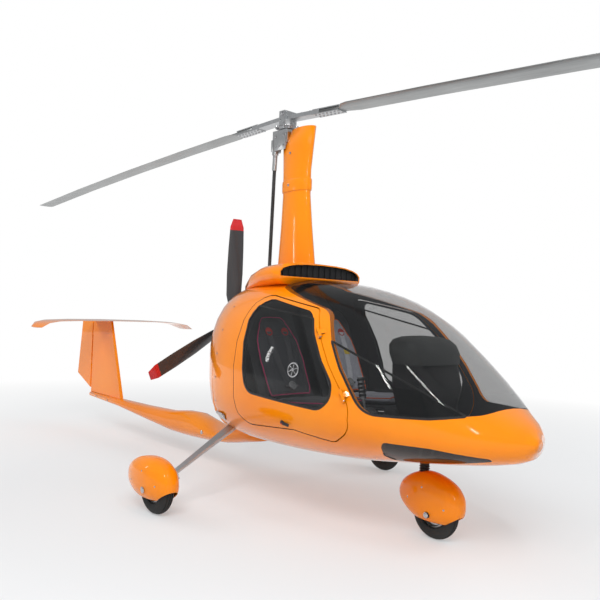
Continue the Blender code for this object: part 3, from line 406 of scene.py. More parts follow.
# %% Surface of the shell
# columns: y, bottom z, widest z, top z, half width, lower power, upper power
SHELL_SECTIONS = [
    (-2.070, 0.605, 0.640, 0.672, 0.045, 2.0, 2.0),
    (-2.040, 0.560, 0.645, 0.712, 0.120, 2.0, 2.0),
    (-1.983, 0.532, 0.652, 0.758, 0.210, 2.1, 2.1),
    (-1.890, 0.509, 0.662, 0.812, 0.303, 2.2, 2.2),
    (-1.797, 0.492, 0.677, 0.894, 0.380, 2.2, 2.2),
    (-1.685, 0.475, 0.697, 0.990, 0.449, 2.2, 2.2),
    (-1.536, 0.455, 0.718, 1.117, 0.517, 2.2, 2.2),
    (-1.369, 0.433, 0.742, 1.240, 0.579, 2.2, 2.25),
    (-1.183, 0.409, 0.766, 1.345, 0.630, 2.25, 2.3),
    (-0.950, 0.387, 0.790, 1.432, 0.665, 2.3, 2.3),
    (-0.650, 0.374, 0.805, 1.485, 0.675, 2.4, 2.3),
    (-0.350, 0.380, 0.815, 1.507, 0.655, 2.7, 2.3),
    (-0.050, 0.392, 0.830, 1.502, 0.597, 3.0, 2.25),
    (0.150, 0.388, 0.865, 1.478, 0.513, 2.8, 2.2),
    (0.300, 0.400, 0.920, 1.447, 0.419, 2.4, 2.1),
    (0.400, 0.447, 0.975, 1.412, 0.340, 2.1, 2.0),
    (0.470, 0.535, 1.010, 1.365, 0.275, 2.0, 2.0),
]
SIDES = (("starboard", -1), ("port", 1))


def shell_section(y):
    rows = SHELL_SECTIONS
    y = min(max(y, rows[0][0]), rows[-1][0] - 1e-6)
    k = max(i for i in range(len(rows) - 1) if rows[i][0] <= y)
    before, here = rows[max(k - 1, 0)], rows[k]
    after, beyond = rows[k + 1], rows[min(k + 2, len(rows) - 1)]
    step = after[0] - here[0]
    u = (y - here[0]) / step
    h = (2 * u**3 - 3 * u**2 + 1, u**3 - 2 * u**2 + u, -2 * u**3 + 3 * u**2, u**3 - u**2)
    values = []
    for c in range(1, 7):
        m0 = (after[c] - before[c]) / (after[0] - before[0]) * step
        m1 = (beyond[c] - here[c]) / (beyond[0] - here[0]) * step
        values.append(h[0] * here[c] + h[1] * m0 + h[2] * after[c] + h[3] * m1)
    return values


def shell_half(y, z):
    """Half the shell's width at a height."""
    bottom, middle, top, half, low_power, high_power = shell_section(y)
    reach, power = (top - middle, high_power) if z >= middle else (middle - bottom, low_power)
    share = min(abs(z - middle) / reach, 1.0)
    return half * (1 - share**power) ** (1 / power)


def shell_level(point):
    """Below 1 inside the shell, 1 on its skin and more outside."""
    bottom, middle, top, half, low_power, high_power = shell_section(point.y)
    reach, power = (top - middle, high_power) if point.z >= middle else (middle - bottom, low_power)
    return (abs(point.x) / half) ** power + (abs(point.z - middle) / reach) ** power


def way_out(point, step=0.002):
    """The direction straight out of the skin at a point."""
    slope = []
    for axis in range(3):
        shift = Vector((0, 0, 0))
        shift[axis] = step
        slope.append(shell_level(point + shift) - shell_level(point - shift))
    return Vector(slope).normalized()


def on_skin(side, y, z, lift=0.0):
    point = Vector((side * shell_half(y, z), y, z))
    return point + way_out(point) * lift


print("cabin width at the seats:", round(2 * shell_half(-0.65, 0.8), 3))

# %% [markdown]
# ## Helpers for new pieces
# Almost everything on a machine is one of four shapes: a section carried along a path, a turned shape,
# a block with rounded edges, or a ring skin. Each helper adds its shape to a mesh in progress, so many
# bolts or stitches can become one piece.


# %% Mesh helpers
def finished(name, bm, finish, body, crease=35.0):
    """Make a mesh in progress into a named piece that rides on a body."""
    bmesh.ops.remove_doubles(bm, verts=bm.verts, dist=0.00001)
    bmesh.ops.recalc_face_normals(bm, faces=bm.faces)
    mesh = bpy.data.meshes.new(name)
    bm.to_mesh(mesh)
    bm.free()
    mesh.shade_smooth()
    mesh.set_sharp_from_angle(angle=radians(crease))
    mesh.materials.append(finish)
    piece = bpy.data.objects.new(name, mesh)
    bpy.context.scene.collection.objects.link(piece)
    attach(piece, body)
    return piece


def skin_rings(bm, rings, closed=False):
    """Skin equal rings of points, with capped ends unless the row of rings closes on itself."""
    rows = [[bm.verts.new(point) for point in ring] for ring in rings]
    pairs = list(zip(rows, rows[1:]))
    if closed:
        pairs.append((rows[-1], rows[0]))
    count = len(rows[0])
    for low, high in pairs:
        for i in range(count):
            j = (i + 1) % count
            bm.faces.new((low[i], low[j], high[j], high[i]))
    if not closed:
        bm.faces.new(rows[0])
        bm.faces.new(rows[-1])


def sweep(bm, points, section, ups, closed=False):
    """Carry a section of (side, up) points along a path, with its up direction given at each point."""
    rings = []
    count = len(points)
    for i, point in enumerate(points):
        before = points[i - 1] if i or closed else point
        after = points[(i + 1) % count] if i + 1 < count or closed else point
        along = (after - before).normalized()
        up = (ups[i] - along * ups[i].dot(along)).normalized()
        side = along.cross(up)
        rings.append([point + side * a + up * b for a, b in section])
    skin_rings(bm, rings, closed)


def round_section(radius, sides=10):
    return [(radius * cos(2 * pi * i / sides), radius * sin(2 * pi * i / sides)) for i in range(sides)]


def tube(bm, points, radius, sides=10):
    """A round bar along a path. Its up direction is carried on from point to point, so it never twists."""
    points = [Vector(p) for p in points]
    along = (points[1] - points[0]).normalized()
    up = along.orthogonal().normalized()
    ups = []
    for i in range(len(points)):
        ahead = points[min(i + 1, len(points) - 1)] - points[max(i - 1, 0)]
        up = (up - ahead.normalized() * up.dot(ahead.normalized())).normalized()
        ups.append(up)
    sweep(bm, points, round_section(radius, sides), ups)


def turned(bm, profile, centre, axis, steps=28):
    """Turn (radius, height) points about an axis. A radius of 0 closes the shape."""
    spin = Vector(axis).to_track_quat("Z", "Y").to_matrix()
    centre = Vector(centre)
    rows = []
    for radius, height in profile:
        if radius < 1e-6:
            rows.append([bm.verts.new(centre + spin @ Vector((0, 0, height)))])
            continue
        angles = [2 * pi * i / steps for i in range(steps)]
        ring = [Vector((radius * cos(a), radius * sin(a), height)) for a in angles]
        rows.append([bm.verts.new(centre + spin @ point) for point in ring])
    for low, high in zip(rows, rows[1:]):
        for i in range(steps):
            j = (i + 1) % steps
            face = [low[i % len(low)], low[j % len(low)], high[j % len(high)], high[i % len(high)]]
            face = list(dict.fromkeys(face))
            if len(face) > 2:
                bm.faces.new(face)


def block(bm, low, high, bevel=0.003, turn=None, about=None):
    """A block between two corners with rounded edges."""
    low, high = Vector(low), Vector(high)
    made = bmesh.ops.create_cube(bm, size=1)["verts"]
    bmesh.ops.transform(bm, matrix=Matrix.Diagonal((*(high - low), 1)), verts=made)
    bmesh.ops.translate(bm, verts=made, vec=(low + high) / 2)
    edges = list({edge for vert in made for edge in vert.link_edges})
    rounded = bmesh.ops.bevel(bm, geom=edges, offset=bevel, segments=2, affect="EDGES", profile=0.5)
    if turn:
        verts = list({v for face in rounded["faces"] for v in face.verts} | {v for v in made if v.is_valid})
        pivot = Matrix.Translation(about or (low + high) / 2)
        bmesh.ops.transform(bm, matrix=pivot @ turn @ pivot.inverted(), verts=verts)


def bolt(bm, centre, axis, size):
    """A hexagon head with its washer."""
    washer = [(0, 0), (size * 1.25, 0), (size * 1.25, size * 0.2), (0, size * 0.2)]
    head = [(size, size * 0.2), (size, size * 0.75), (size * 0.8, size * 0.95), (0, size * 0.95)]
    turned(bm, washer, centre, axis, 14)
    turned(bm, head, centre, axis, 6)

def turned_piece(name, finish, body, shapes):
    """A piece made only of turned shapes, each given as profile, centre, axis and steps."""
    bm = bmesh.new()
    for shape in shapes:
        turned(bm, *shape)
    finished(name, bm, finish, body)


# %% [markdown]
# ## Smooth skins
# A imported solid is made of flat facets, and lacquer shows every one of them. Each big shell gets a copy of
# itself with smoothed shading, which takes its place. On the cabin shell, its doors and its panes the exact
# direction is known from the formula, so every corner of an outer face gets that direction, and every corner
# of an inner face its opposite. The other lofted pieces are smoothed wherever the bend is slight.

# %% Smooth skins
# columns: node, body, slot
SHELL_SKINS = [
    ("cabin_hull", "airframe", "orange_paint"),
    ("engine_cowl", "airframe", "orange_paint"),
    ("windscreen", "airframe", "tinted_glass"),
    ("chin_window_starboard", "airframe", "tinted_glass"),
    ("chin_window_port", "airframe", "tinted_glass"),
    ("door_starboard", "door_starboard", "orange_paint"),
    ("door_port", "door_port", "orange_paint"),
    ("door_window_starboard", "door_starboard", "tinted_glass"),
    ("door_window_port", "door_port", "tinted_glass"),
]
# A face counts as skin when it leans this little from the shell, and the blunt nose tip may lean more
SKIN_LEAN = 0.86
NOSE_TIP_Y = -2.03
NOSE_TIP_LEAN = 0.40
LOFTED_SKINS = [
    ("tail_boom", "airframe", "orange_paint"),
    ("roof_scoop", "airframe", "orange_paint"),
    ("mast_fairing", "airframe", "orange_paint"),
    ("stabiliser", "airframe", "orange_paint"),
    ("rotor_blade_front", "rotor", "aluminium"),
    ("rotor_blade_rear", "rotor", "aluminium"),
    ("propeller", "propeller", "prop_grey"),
]


def welded_copy(node, body):
    """A copy of a solid whose facets share their corners, in the solid's place."""
    bm = bmesh.new()
    bm.from_mesh(nodes[node].data)
    skin = finished("skin_" + node, bm, nodes[node].data.materials[0], body, 32)
    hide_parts(node)
    return skin


for node, body, slot in LOFTED_SKINS:
    welded_copy(node, body)
for node, body, slot in SHELL_SKINS:
    mesh = welded_copy(node, body).data
    directions = [Vector((0, 0, 1))] * len(mesh.loops)
    for face in mesh.polygons:
        limit = NOSE_TIP_LEAN if face.center.y < NOSE_TIP_Y else SKIN_LEAN
        for corner in face.loop_indices:
            out = way_out(mesh.vertices[mesh.loops[corner].vertex_index].co)
            lean = face.normal.dot(out)
            directions[corner] = out if lean > limit else -out if lean < -limit else face.normal.copy()
    mesh.normals_split_custom_set(directions)
print("smooth skins:", len(SHELL_SKINS) + len(LOFTED_SKINS))

# %% [markdown]
# ## Rubber seals
# Every pane is bedded in a black rubber strip. The strip is found from the pane itself: its rim faces
# stand square to the skin, so the edge between a rim face and a skin face is a line the rubber follows.
# The walk starts at the pane's outermost corner and goes both ways until the edge ends or meets itself,
# and the two ends are joined. The line is cut into even steps, and a low rounded section is carried
# along it.


# %% Rubber seals
def walk(links, start, first):
    """Corner after corner along an edge, and whether it came back to its start."""
    line, last, here = [], start, first
    while here != start and here not in line:
        line.append(here)
        ahead = [i for i in links[here] if i != last]
        if not ahead:
            return line, False
        last, here = here, ahead[0]
    return line, here == start


def pane_line(node):
    """The outer edge of a pane as points in order."""
    bm = bmesh.new()
    bm.from_mesh(nodes[node].data)
    bmesh.ops.remove_doubles(bm, verts=bm.verts, dist=0.00001)
    bm.normal_update()
    links = {}
    for edge in bm.edges:
        if len(edge.link_faces) != 2:
            continue
        turns = [face.normal.dot(way_out(face.calc_center_median())) for face in edge.link_faces]
        if max(turns) > 0.6 and min(abs(t) for t in turns) < 0.5:
            a, b = edge.verts
            links.setdefault(a.index, []).append(b.index)
            links.setdefault(b.index, []).append(a.index)
    spots = {v.index: v.co.copy() for v in bm.verts}
    bm.free()
    start = max(links, key=lambda i: (spots[i].x * (1 if "port" in node else -1), i))
    ahead, whole = walk(links, start, links[start][0])
    line = [start] + ahead
    if not whole and len(links[start]) > 1:
        line = walk(links, start, links[start][1])[0][::-1] + line
    return [spots[i] for i in line]


def even_steps(points, step):
    """The same closed line cut into equal steps."""
    path = points + [points[0]]
    lengths = [0.0]
    for a, b in zip(path, path[1:]):
        lengths.append(lengths[-1] + (b - a).length)
    count = max(int(lengths[-1] / step), 4)
    even = []
    k = 0
    for i in range(count):
        want = lengths[-1] * i / count
        while k + 2 < len(lengths) and lengths[k + 1] < want:
            k += 1
        gap = lengths[k + 1] - lengths[k]
        even.append(path[k].lerp(path[k + 1], (want - lengths[k]) / gap if gap else 0.0))
    return even


def strip_section(width, height):
    """A low section with rounded shoulders, sunk a millimetre into what it lies on."""
    half = width / 2
    rising = [(-half, -0.001), (-half, height * 0.5), (-half * 0.7, height)]
    return rising + [(-across, up) for across, up in reversed(rising)]


SEAL_HEIGHT = 0.003
EVEN_STEP = 0.012
# columns: pane, body it rides on, strip width
SEALS = [
    ("windscreen", "airframe", 0.013),
    ("chin_window_starboard", "airframe", 0.008),
    ("chin_window_port", "airframe", 0.008),
    ("door_window_starboard", "door_starboard", 0.014),
    ("door_window_port", "door_port", 0.014),
]
for pane, body, width in SEALS:
    line = even_steps(pane_line(pane), EVEN_STEP)
    bm = bmesh.new()
    sweep(bm, line, strip_section(width, SEAL_HEIGHT), [way_out(point) for point in line], closed=True)
    finished("seal_" + pane, bm, seal_rubber, body)
    print("seal", pane, "points:", len(line))

# %% [markdown]
# ## Seat cushions
# A seat is sewn from flat cloth and filled with foam, so its faces crown and its sides pull in between
# the corners. The start is a slightly small slab. It is remeshed into small even cells, and a cloth
# simulation blows it up from inside. The move of each point is capped, and the sewn channels are pressed
# in afterwards, because the remesh would have erased them. The starboard seat is charcoal with panel
# seams, the port seat is light grey and quilted in diamonds.


# %% Seat fabric
def seat_cloth(name, dark, light, sheen):
    """Woven seat cover: crossed fine waves for the weave, and a slow worn tone."""
    made, tree, place = sheet_of_nodes(name)
    settings = {"Vector": place, "Scale": 480.0, "Distortion": 1.2}
    warp = add(tree, "TexWave", settings, bands_direction="X").outputs["Fac"]
    weft = add(tree, "TexWave", settings, bands_direction="Z").outputs["Fac"]
    weave = math(tree, "MULTIPLY", warp, weft)
    slow = noise(tree, place, 11.0, 6.0)
    tone = math(tree, "ADD", math(tree, "MULTIPLY", weave, 0.25), math(tree, "MULTIPLY", slow, 0.75))
    surface(tree, {
        "Base Color": two_tones(tree, tone, dark, light, 0.25, 0.85),
        "Roughness": ranged(tree, slow, 0.66, 0.88),
        "Normal": bump(tree, weave, 0.12),
        "Sheen Weight": sheen,
    })
    return made


charcoal_cloth = seat_cloth("charcoal_seat_cloth", (0.050, 0.052, 0.060), (0.085, 0.088, 0.098), 0.15)
grey_cloth = seat_cloth("pale_seat_cloth", (0.34, 0.35, 0.40), (0.54, 0.55, 0.61), 0.25)
magenta_piping = grained("magenta_piping", (0.60, 0.030, 0.150), (0.78, 0.050, 0.210), 0.55, 900.0, 0.2)
orange_piping = grained("orange_piping", (0.80, 0.120, 0.020), (0.92, 0.180, 0.030), 0.55, 900.0, 0.2)

# %% Seat places
SEAT_X = 0.275
# Middle lines of the base and the back, each as (start, end)
CUSHION_LINES = [
    (Vector((0, -0.980, 0.733)), Vector((0, -0.500, 0.692))),
    (Vector((0, -0.456, 0.722)), Vector((0, -0.210, 1.236))),
]
# columns: share of the length, half width
BASE_WIDTHS = [(0.0, 0.165), (0.06, 0.188), (0.5, 0.200), (0.94, 0.196), (1.0, 0.180)]
REST_WIDTHS = [
    (0.0, 0.175), (0.06, 0.190), (0.45, 0.200), (0.70, 0.186), (0.80, 0.160), (0.95, 0.118), (1.0, 0.090),
]
HALF_THICK = {"base": 0.021, "rest": 0.017}


def width_at(rows, share):
    for (s0, w0), (s1, w1) in zip(rows, rows[1:]):
        if share <= s1:
            return w0 + (w1 - w0) * (share - s0) / (s1 - s0)
    return rows[-1][1]


def curve_power(value, power):
    return (1 if value >= 0 else -1) * abs(value) ** (2 / power)


def slab(name, x, line, facing, widths, thick, stations=22, count=28):
    """A flat filled form along a line, wide across x."""
    rings = []
    for k in range(stations + 1):
        share = k / stations
        centre = line[0].lerp(line[1], share)
        half = width_at(widths, share)
        ring = []
        for i in range(count):
            angle = 2 * pi * i / count
            across = half * curve_power(cos(angle), 3.0)
            ring.append(centre + Vector((x + across, 0, 0)) + facing * thick * curve_power(sin(angle), 3.0))
        rings.append(ring)
    bm = bmesh.new()
    skin_rings(bm, rings)
    bmesh.ops.recalc_face_normals(bm, faces=bm.faces)
    mesh = bpy.data.meshes.new(name)
    bm.to_mesh(mesh)
    bm.free()
    piece = bpy.data.objects.new(name, mesh)
    bpy.context.scene.collection.objects.link(piece)
    return piece


# %% Filling a cushion
def settled_mesh(piece):
    graph = bpy.context.evaluated_depsgraph_get()
    return bpy.data.meshes.new_from_object(piece.evaluated_get(graph))


def swap_mesh(piece, mesh):
    piece.modifiers.clear()
    piece.data = mesh


def fill(piece, pressure, cap, cell=0.008, frames=20):
    """Remesh, blow up with cloth pressure and cap the swelling."""
    remesh = piece.modifiers.new("even_cells", "REMESH")
    remesh.mode = "VOXEL"
    remesh.voxel_size = cell
    swap_mesh(piece, settled_mesh(piece))
    rest = [vert.co.copy() for vert in piece.data.vertices]
    cloth = piece.modifiers.new("filling", "CLOTH")
    cloth.settings.quality = 5
    cloth.settings.mass = 0.3
    cloth.settings.tension_stiffness = 12
    cloth.settings.bending_stiffness = 0.4
    cloth.settings.use_pressure = True
    cloth.settings.uniform_pressure_force = pressure
    cloth.settings.effector_weights.gravity = 0
    cloth.collision_settings.use_collision = False
    cloth.point_cache.frame_start = 1
    cloth.point_cache.frame_end = frames
    for number in range(1, frames + 1):
        bpy.context.scene.frame_set(number)
    blown = settled_mesh(piece)
    for vert, start in zip(blown.vertices, rest):
        move = vert.co - start
        if move.length > cap:
            vert.co = start + move.normalized() * cap
    swap_mesh(piece, blown)
    bpy.context.scene.frame_set(1)


def press_seams(piece, x, line, facing, seams, depth):
    """Press sewn channels into the face. seams gives the distance from a seam at (across, along)."""
    along = (line[1] - line[0]).normalized()
    bm = bmesh.new()
    bm.from_mesh(piece.data)
    bmesh.ops.smooth_vert(bm, verts=bm.verts, factor=0.5, use_axis_x=True, use_axis_y=True, use_axis_z=True)
    bmesh.ops.subdivide_edges(bm, edges=bm.edges, cuts=1, use_grid_fill=True, smooth=0.6)
    bm.normal_update()
    for vert in bm.verts:
        turned_to = vert.normal.dot(facing)
        if turned_to > 0.2:
            arm = vert.co - line[0]
            gap = seams(vert.co.x - x, arm.dot(along))
            vert.co -= facing * depth * exp(-((gap / 0.0055) ** 2)) * min(turned_to * 1.4, 1.0)
    bm.to_mesh(piece.data)
    bm.free()
    piece.data.shade_smooth()


def panel_seams(across, along):
    """Two long seams that curve with the seat, and one across at shoulder height."""
    side_seam = abs(abs(across) - 0.112 - 0.018 * cos(along * 9.0))
    return min(side_seam, abs(along - 0.415))


def diamond_seams(across, along):
    """Crossed diagonal seams inside a plain border."""
    border = abs(abs(across) - 0.148)
    if abs(across) > 0.148:
        return border
    pitch = 0.062
    first = abs(((across + along * 0.72) / pitch) % 1.0 - 0.5) * pitch
    second = abs(((across - along * 0.72) / pitch) % 1.0 - 0.5) * pitch
    return min(border, first, second)


# %% Cushions, piping and slots
from mathutils.bvhtree import BVHTree

SEAT_STYLE = {
    "starboard": (charcoal_cloth, magenta_piping, panel_seams, 0.0045),
    "port": (grey_cloth, orange_piping, diamond_seams, 0.0050),
}
seat_faces = {}
for side_name, side in SIDES:
    cloth_finish, piping_finish, seams, depth = SEAT_STYLE[side_name]
    x = side * SEAT_X
    for part_name, line, widths in zip(("base", "rest"), CUSHION_LINES, (BASE_WIDTHS, REST_WIDTHS)):
        along = (line[1] - line[0]).normalized()
        facing = Vector((1, 0, 0)).cross(along)
        facing = facing if facing.z > 0 else -facing
        thick = HALF_THICK[part_name]
        cushion = slab(f"cushion_{part_name}_{side_name}", x, line, facing, widths, thick)
        fill(cushion, 4.0, 0.009)
        press_seams(cushion, x, line, facing, seams, depth)
        cushion.data.materials.clear()
        cushion.data.materials.append(cloth_finish)
        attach(cushion, "airframe")
        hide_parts("seat_pad_" + side_name)
        tree_of_faces = BVHTree.FromPolygons(
            [vert.co for vert in cushion.data.vertices], [face.vertices for face in cushion.data.polygons]
        )
        seat_faces[part_name, side_name] = (tree_of_faces, x, line, along, facing)
        length = (line[1] - line[0]).length
        rim = []
        for k in range(25):
            share = k / 24
            rim.append(line[0] + along * length * share + Vector((x + width_at(widths, share) * 0.97, 0, 0)))
        rim += [Vector((2 * x - point.x, point.y, point.z)) for point in reversed(rim)]
        path = []
        for point in even_steps(rim, EVEN_STEP):
            spot, normal, _, _ = tree_of_faces.find_nearest(point + facing * thick * 1.2)
            path.append((spot + normal * 0.0015, normal))
        bm = bmesh.new()
        sweep(bm, [p for p, _ in path], round_section(0.0038, 8), [n for _, n in path], closed=True)
        finished(f"piping_{part_name}_{side_name}", bm, piping_finish, "airframe")
        print("cushion", part_name, side_name, "faces:", len(cushion.data.polygons))

# %% [markdown]
# ## Harness
# Each seat has two shoulder straps that come out of slots in the back and meet the lap straps at a
# buckle. Webbing is thin and flat, so it is drawn directly: points are marked on the seat, dropped onto
# the cushion's surface, and a flat woven section is carried along them, a little above the cloth.


# %% Webbing
def webbing_finish(name, dark, light):
    made, tree, place = sheet_of_nodes(name)
    settings = {"Vector": place, "Scale": 520.0, "Distortion": 0.4}
    rib = add(tree, "TexWave", settings, bands_direction="DIAGONAL").outputs["Fac"]
    slow = noise(tree, place, 16.0, 4.0)
    tone = math(tree, "MULTIPLY", math(tree, "ADD", rib, slow), 0.5)
    surface(tree, {
        "Base Color": two_tones(tree, tone, dark, light),
        "Roughness": ranged(tree, slow, 0.55, 0.80),
        "Normal": bump(tree, rib, 0.35, 0.0008),
        "Sheen Weight": 0.2,
    })
    return made


belt_webbing = {
    "starboard": webbing_finish("charcoal_webbing", (0.060, 0.062, 0.070), (0.110, 0.112, 0.122)),
    "port": webbing_finish("grey_webbing", (0.50, 0.51, 0.55), (0.74, 0.75, 0.79)),
}
yellow_tag = webbing_finish("yellow_tag", (0.62, 0.44, 0.03), (0.85, 0.63, 0.06))
red_moulding = grained("red_moulding", (0.46, 0.012, 0.010), (0.62, 0.022, 0.016), 0.36, 500.0, 0.1, 0.5)

# columns: part of the seat, then (across, along) points of its strap on one side
STRAPS = [
    ("rest", [(0.070, 0.450), (0.069, 0.37), (0.060, 0.27), (0.045, 0.17), (0.022, 0.085)]),
    ("base", [(0.185, 0.440), (0.14, 0.425), (0.085, 0.410), (0.030, 0.400)]),
]
BELT_SECTION = [
    (-0.023, 0.0), (-0.023, 0.0016), (-0.021, 0.0026), (0.021, 0.0026), (0.023, 0.0016), (0.023, 0.0),
]
TAG_SECTION = [(across * 1.06, up + 0.0002) for across, up in BELT_SECTION]
STRAP_LIFT = 0.0015
TAG_LIFT = 0.0045
SLOT_RIM = [(0, 0.001), (0.026, 0.001), (0.030, 0.004), (0.027, 0.007), (0.021, 0.004), (0, 0.003)]
BUCKLE = [(0, 0), (0.030, 0), (0.033, 0.006), (0.031, 0.014), (0.022, 0.017), (0, 0.018)]
TONGUE = Vector((0.016, 0.006, 0.006))


def on_cushion(part_name, side_name, across, distance, lift):
    """A point on the cushion's face, found by looking down at it from the sitter's side."""
    faces, x, line, along, facing = seat_faces[part_name, side_name]
    start = line[0] + along * distance + Vector((x + across, 0, 0)) + facing * 0.2
    spot, normal, _, _ = faces.ray_cast(start, -facing)
    if spot is None:
        spot, normal, _, _ = faces.find_nearest(start)
    return spot + facing * lift, facing


def smooth_points(points, count):
    """Points on a smooth curve through a short list of them."""
    out = []
    for i in range(count + 1):
        t = i / count * (len(points) - 1)
        k = min(int(t), len(points) - 2)
        u = t - k
        before, after = points[max(k - 1, 0)], points[min(k + 2, len(points) - 1)]
        point = []
        for a, b, c, d in zip(before, points[k], points[k + 1], after):
            square, cube = 2 * a - 5 * b + 4 * c - d, 3 * b - a - 3 * c + d
            point.append(0.5 * (2 * b + (c - a) * u + square * u * u + cube * u**3))
        out.append(tuple(point))
    return out


def strap(bm, part_name, side_name, marks, lift, section):
    """Webbing along (across, along) marks that are dropped onto the cushion."""
    route = [on_cushion(part_name, side_name, across, distance, lift) for across, distance in marks]
    sweep(bm, [spot for spot, _ in route], section, [facing for _, facing in route])


for side_name, side in SIDES:
    bm = bmesh.new()
    for part_name, points in STRAPS:
        for way in (1, -1):
            marks = [(way * across, distance) for across, distance in smooth_points(points, 28)]
            strap(bm, part_name, side_name, marks, STRAP_LIFT, BELT_SECTION)
    finished("harness_" + side_name, bm, belt_webbing[side_name], "airframe")
    slots = [on_cushion("rest", side_name, across, 0.450, 0.0) for across in (-0.070, 0.070)]
    rims = [(SLOT_RIM, spot, facing) for spot, facing in slots]
    turned_piece("harness_slots_" + side_name, red_moulding, "airframe", rims)
    spot, facing = on_cushion("rest", side_name, 0, 0.06, 0.004)
    bm = bmesh.new()
    turned(bm, BUCKLE, spot, facing)
    for across in (-0.040, 0.040):
        middle = spot + Vector((across, 0, 0))
        block(bm, middle - TONGUE, middle + TONGUE, 0.002)
    finished("buckle_" + side_name, bm, bright_steel, "airframe")
bm = bmesh.new()
marks = [(0.066 + 0.02 * (distance - 0.30), distance) for distance in (0.275, 0.290, 0.305, 0.320)]
strap(bm, "rest", "port", marks, TAG_LIFT, TAG_SECTION)
finished("belt_tag_port", bm, yellow_tag, "airframe")
print("straps on each seat:", 2 * len(STRAPS))

# %% [markdown]
# ## Cabin fittings
# Through the glass one sees a smooth dark hood over the instruments, pedals, a middle console and the
# door linings. The hood is a skin over a few rounded outlines, wide at the dials and drawn in above.

# %% Instrument hood
# columns: z, front y, rear y, half width
HOOD_ROWS = [
    (1.000, -1.470, -1.222, 0.232),
    (1.060, -1.462, -1.205, 0.246),
    (1.110, -1.440, -1.196, 0.238),
    (1.140, -1.410, -1.205, 0.205),
    (1.157, -1.370, -1.232, 0.140),
    (1.162, -1.330, -1.262, 0.060),
]


def rounded_outline(half_wide, half_high, power, count):
    """A closed outline between an oval and a rectangle, as (across, up) points."""
    outline = []
    for i in range(count):
        angle = 2 * pi * (i + 0.5) / count
        across = half_wide * curve_power(cos(angle), power)
        outline.append((across, half_high * curve_power(sin(angle), power)))
    return outline


def hood_ring(z, front, rear, half):
    outline = rounded_outline(half, (rear - front) / 2, 3.2, 40)
    return [Vector((across, (front + rear) / 2 + ahead, z)) for across, ahead in outline]


hood_finish = grained("flocked_hood", (0.040, 0.043, 0.042), (0.058, 0.061, 0.060), 0.55, 1500.0, 0.06)
bm = bmesh.new()
skin_rings(bm, [hood_ring(*row) for row in HOOD_ROWS])
finished("instrument_hood", bm, hood_finish, "airframe", 60)

# %% Dials and switches
dial_face = grained("dial_face", (0.010, 0.010, 0.011), (0.018, 0.018, 0.020), 0.40, 300.0, 0.05)
mark_white = grained("dial_marks", (0.60, 0.60, 0.58), (0.78, 0.78, 0.76), 0.50, 300.0, 0.05)
PANEL_Y = -1.232
REARWARDS = (0, 1, 0)
# columns: x, z, radius, pointer angle in degrees
DIALS = [
    (-0.115, 0.955, 0.036, 30),
    (-0.030, 0.955, 0.036, 140),
    (0.055, 0.955, 0.036, 250),
    (-0.110, 0.880, 0.026, 80),
    (-0.045, 0.880, 0.026, 200),
    (0.020, 0.880, 0.026, 320),
]
# columns: share of the dial's radius, height
BEZEL = [(1.0, 0.0), (1.16, 0.0), (1.16, 0.006), (1.04, 0.011), (0.96, 0.008), (0.96, 0.0)]
SWITCH = [(0, 0), (0.008, 0), (0.008, 0.004), (0.003, 0.005), (0.0025, 0.018), (0, 0.019)]
SCREEN_LOW = Vector((0.100, PANEL_Y - 0.002, 0.865))
SCREEN_HIGH = Vector((0.185, PANEL_Y + 0.010, 0.975))
rings, faces, marks = bmesh.new(), bmesh.new(), bmesh.new()
for x, z, radius, pointer in DIALS:
    centre = Vector((x, PANEL_Y, z))
    turned(rings, [(radius * share, height) for share, height in BEZEL], centre, REARWARDS, 36)
    turned(faces, [(0, 0.001), (radius, 0.001), (radius, 0.004), (0, 0.004)], centre, REARWARDS, 36)
    for tick in range(12):
        low = centre + Vector((-0.0008, 0.004, radius * 0.78))
        high = centre + Vector((0.0008, 0.0048, radius * 0.93))
        block(marks, low, high, 0.0002, Matrix.Rotation(radians(30 * tick), 4, "Y"), centre)
    low = centre + Vector((-0.001, 0.005, -0.004))
    high = centre + Vector((0.001, 0.006, radius * 0.72))
    block(marks, low, high, 0.0003, Matrix.Rotation(radians(pointer), 4, "Y"), centre)
block(rings, SCREEN_LOW, SCREEN_HIGH, 0.004)
glass_low = SCREEN_LOW + Vector((0.006, 0.0095, 0.008))
block(faces, glass_low, SCREEN_HIGH + Vector((-0.006, 0.001, -0.008)), 0.001)
for k in range(5):
    turned(rings, SWITCH, (-0.06 + 0.03 * k, -1.214, 0.760), (0, 1, 0.2), 12)
finished("dial_rings", rings, bright_steel, "airframe")
finished("dial_faces", faces, dial_face, "airframe")
finished("dial_marks", marks, mark_white, "airframe")
print("dials:", len(DIALS))

# %% Pedals, console and levers
FLOOR_LEVEL = 0.4805
PEDAL_TILT = Matrix.Rotation(radians(-18), 4, "X")
bm = bmesh.new()
for side_name, side in SIDES:
    for shift in (-0.055, 0.055):
        x = side * 0.190 + shift
        block(bm, (x - 0.038, -1.535, 0.560), (x + 0.038, -1.523, 0.650), 0.004, PEDAL_TILT)
        tube(bm, [(x, -1.530, 0.600), (x, -1.512, 0.530), (x, -1.500, 0.482)], 0.008)
    tube(bm, [(side * 0.11, -1.500, 0.492), (side * 0.255, -1.500, 0.492)], 0.009)
finished("rudder_pedals", bm, milled_metal, "airframe")

bm = bmesh.new()
block(bm, (-0.034, -0.960, FLOOR_LEVEL), (0.034, -0.560, 0.640), 0.010)
finished("middle_console", bm, grey_moulding, "airframe")
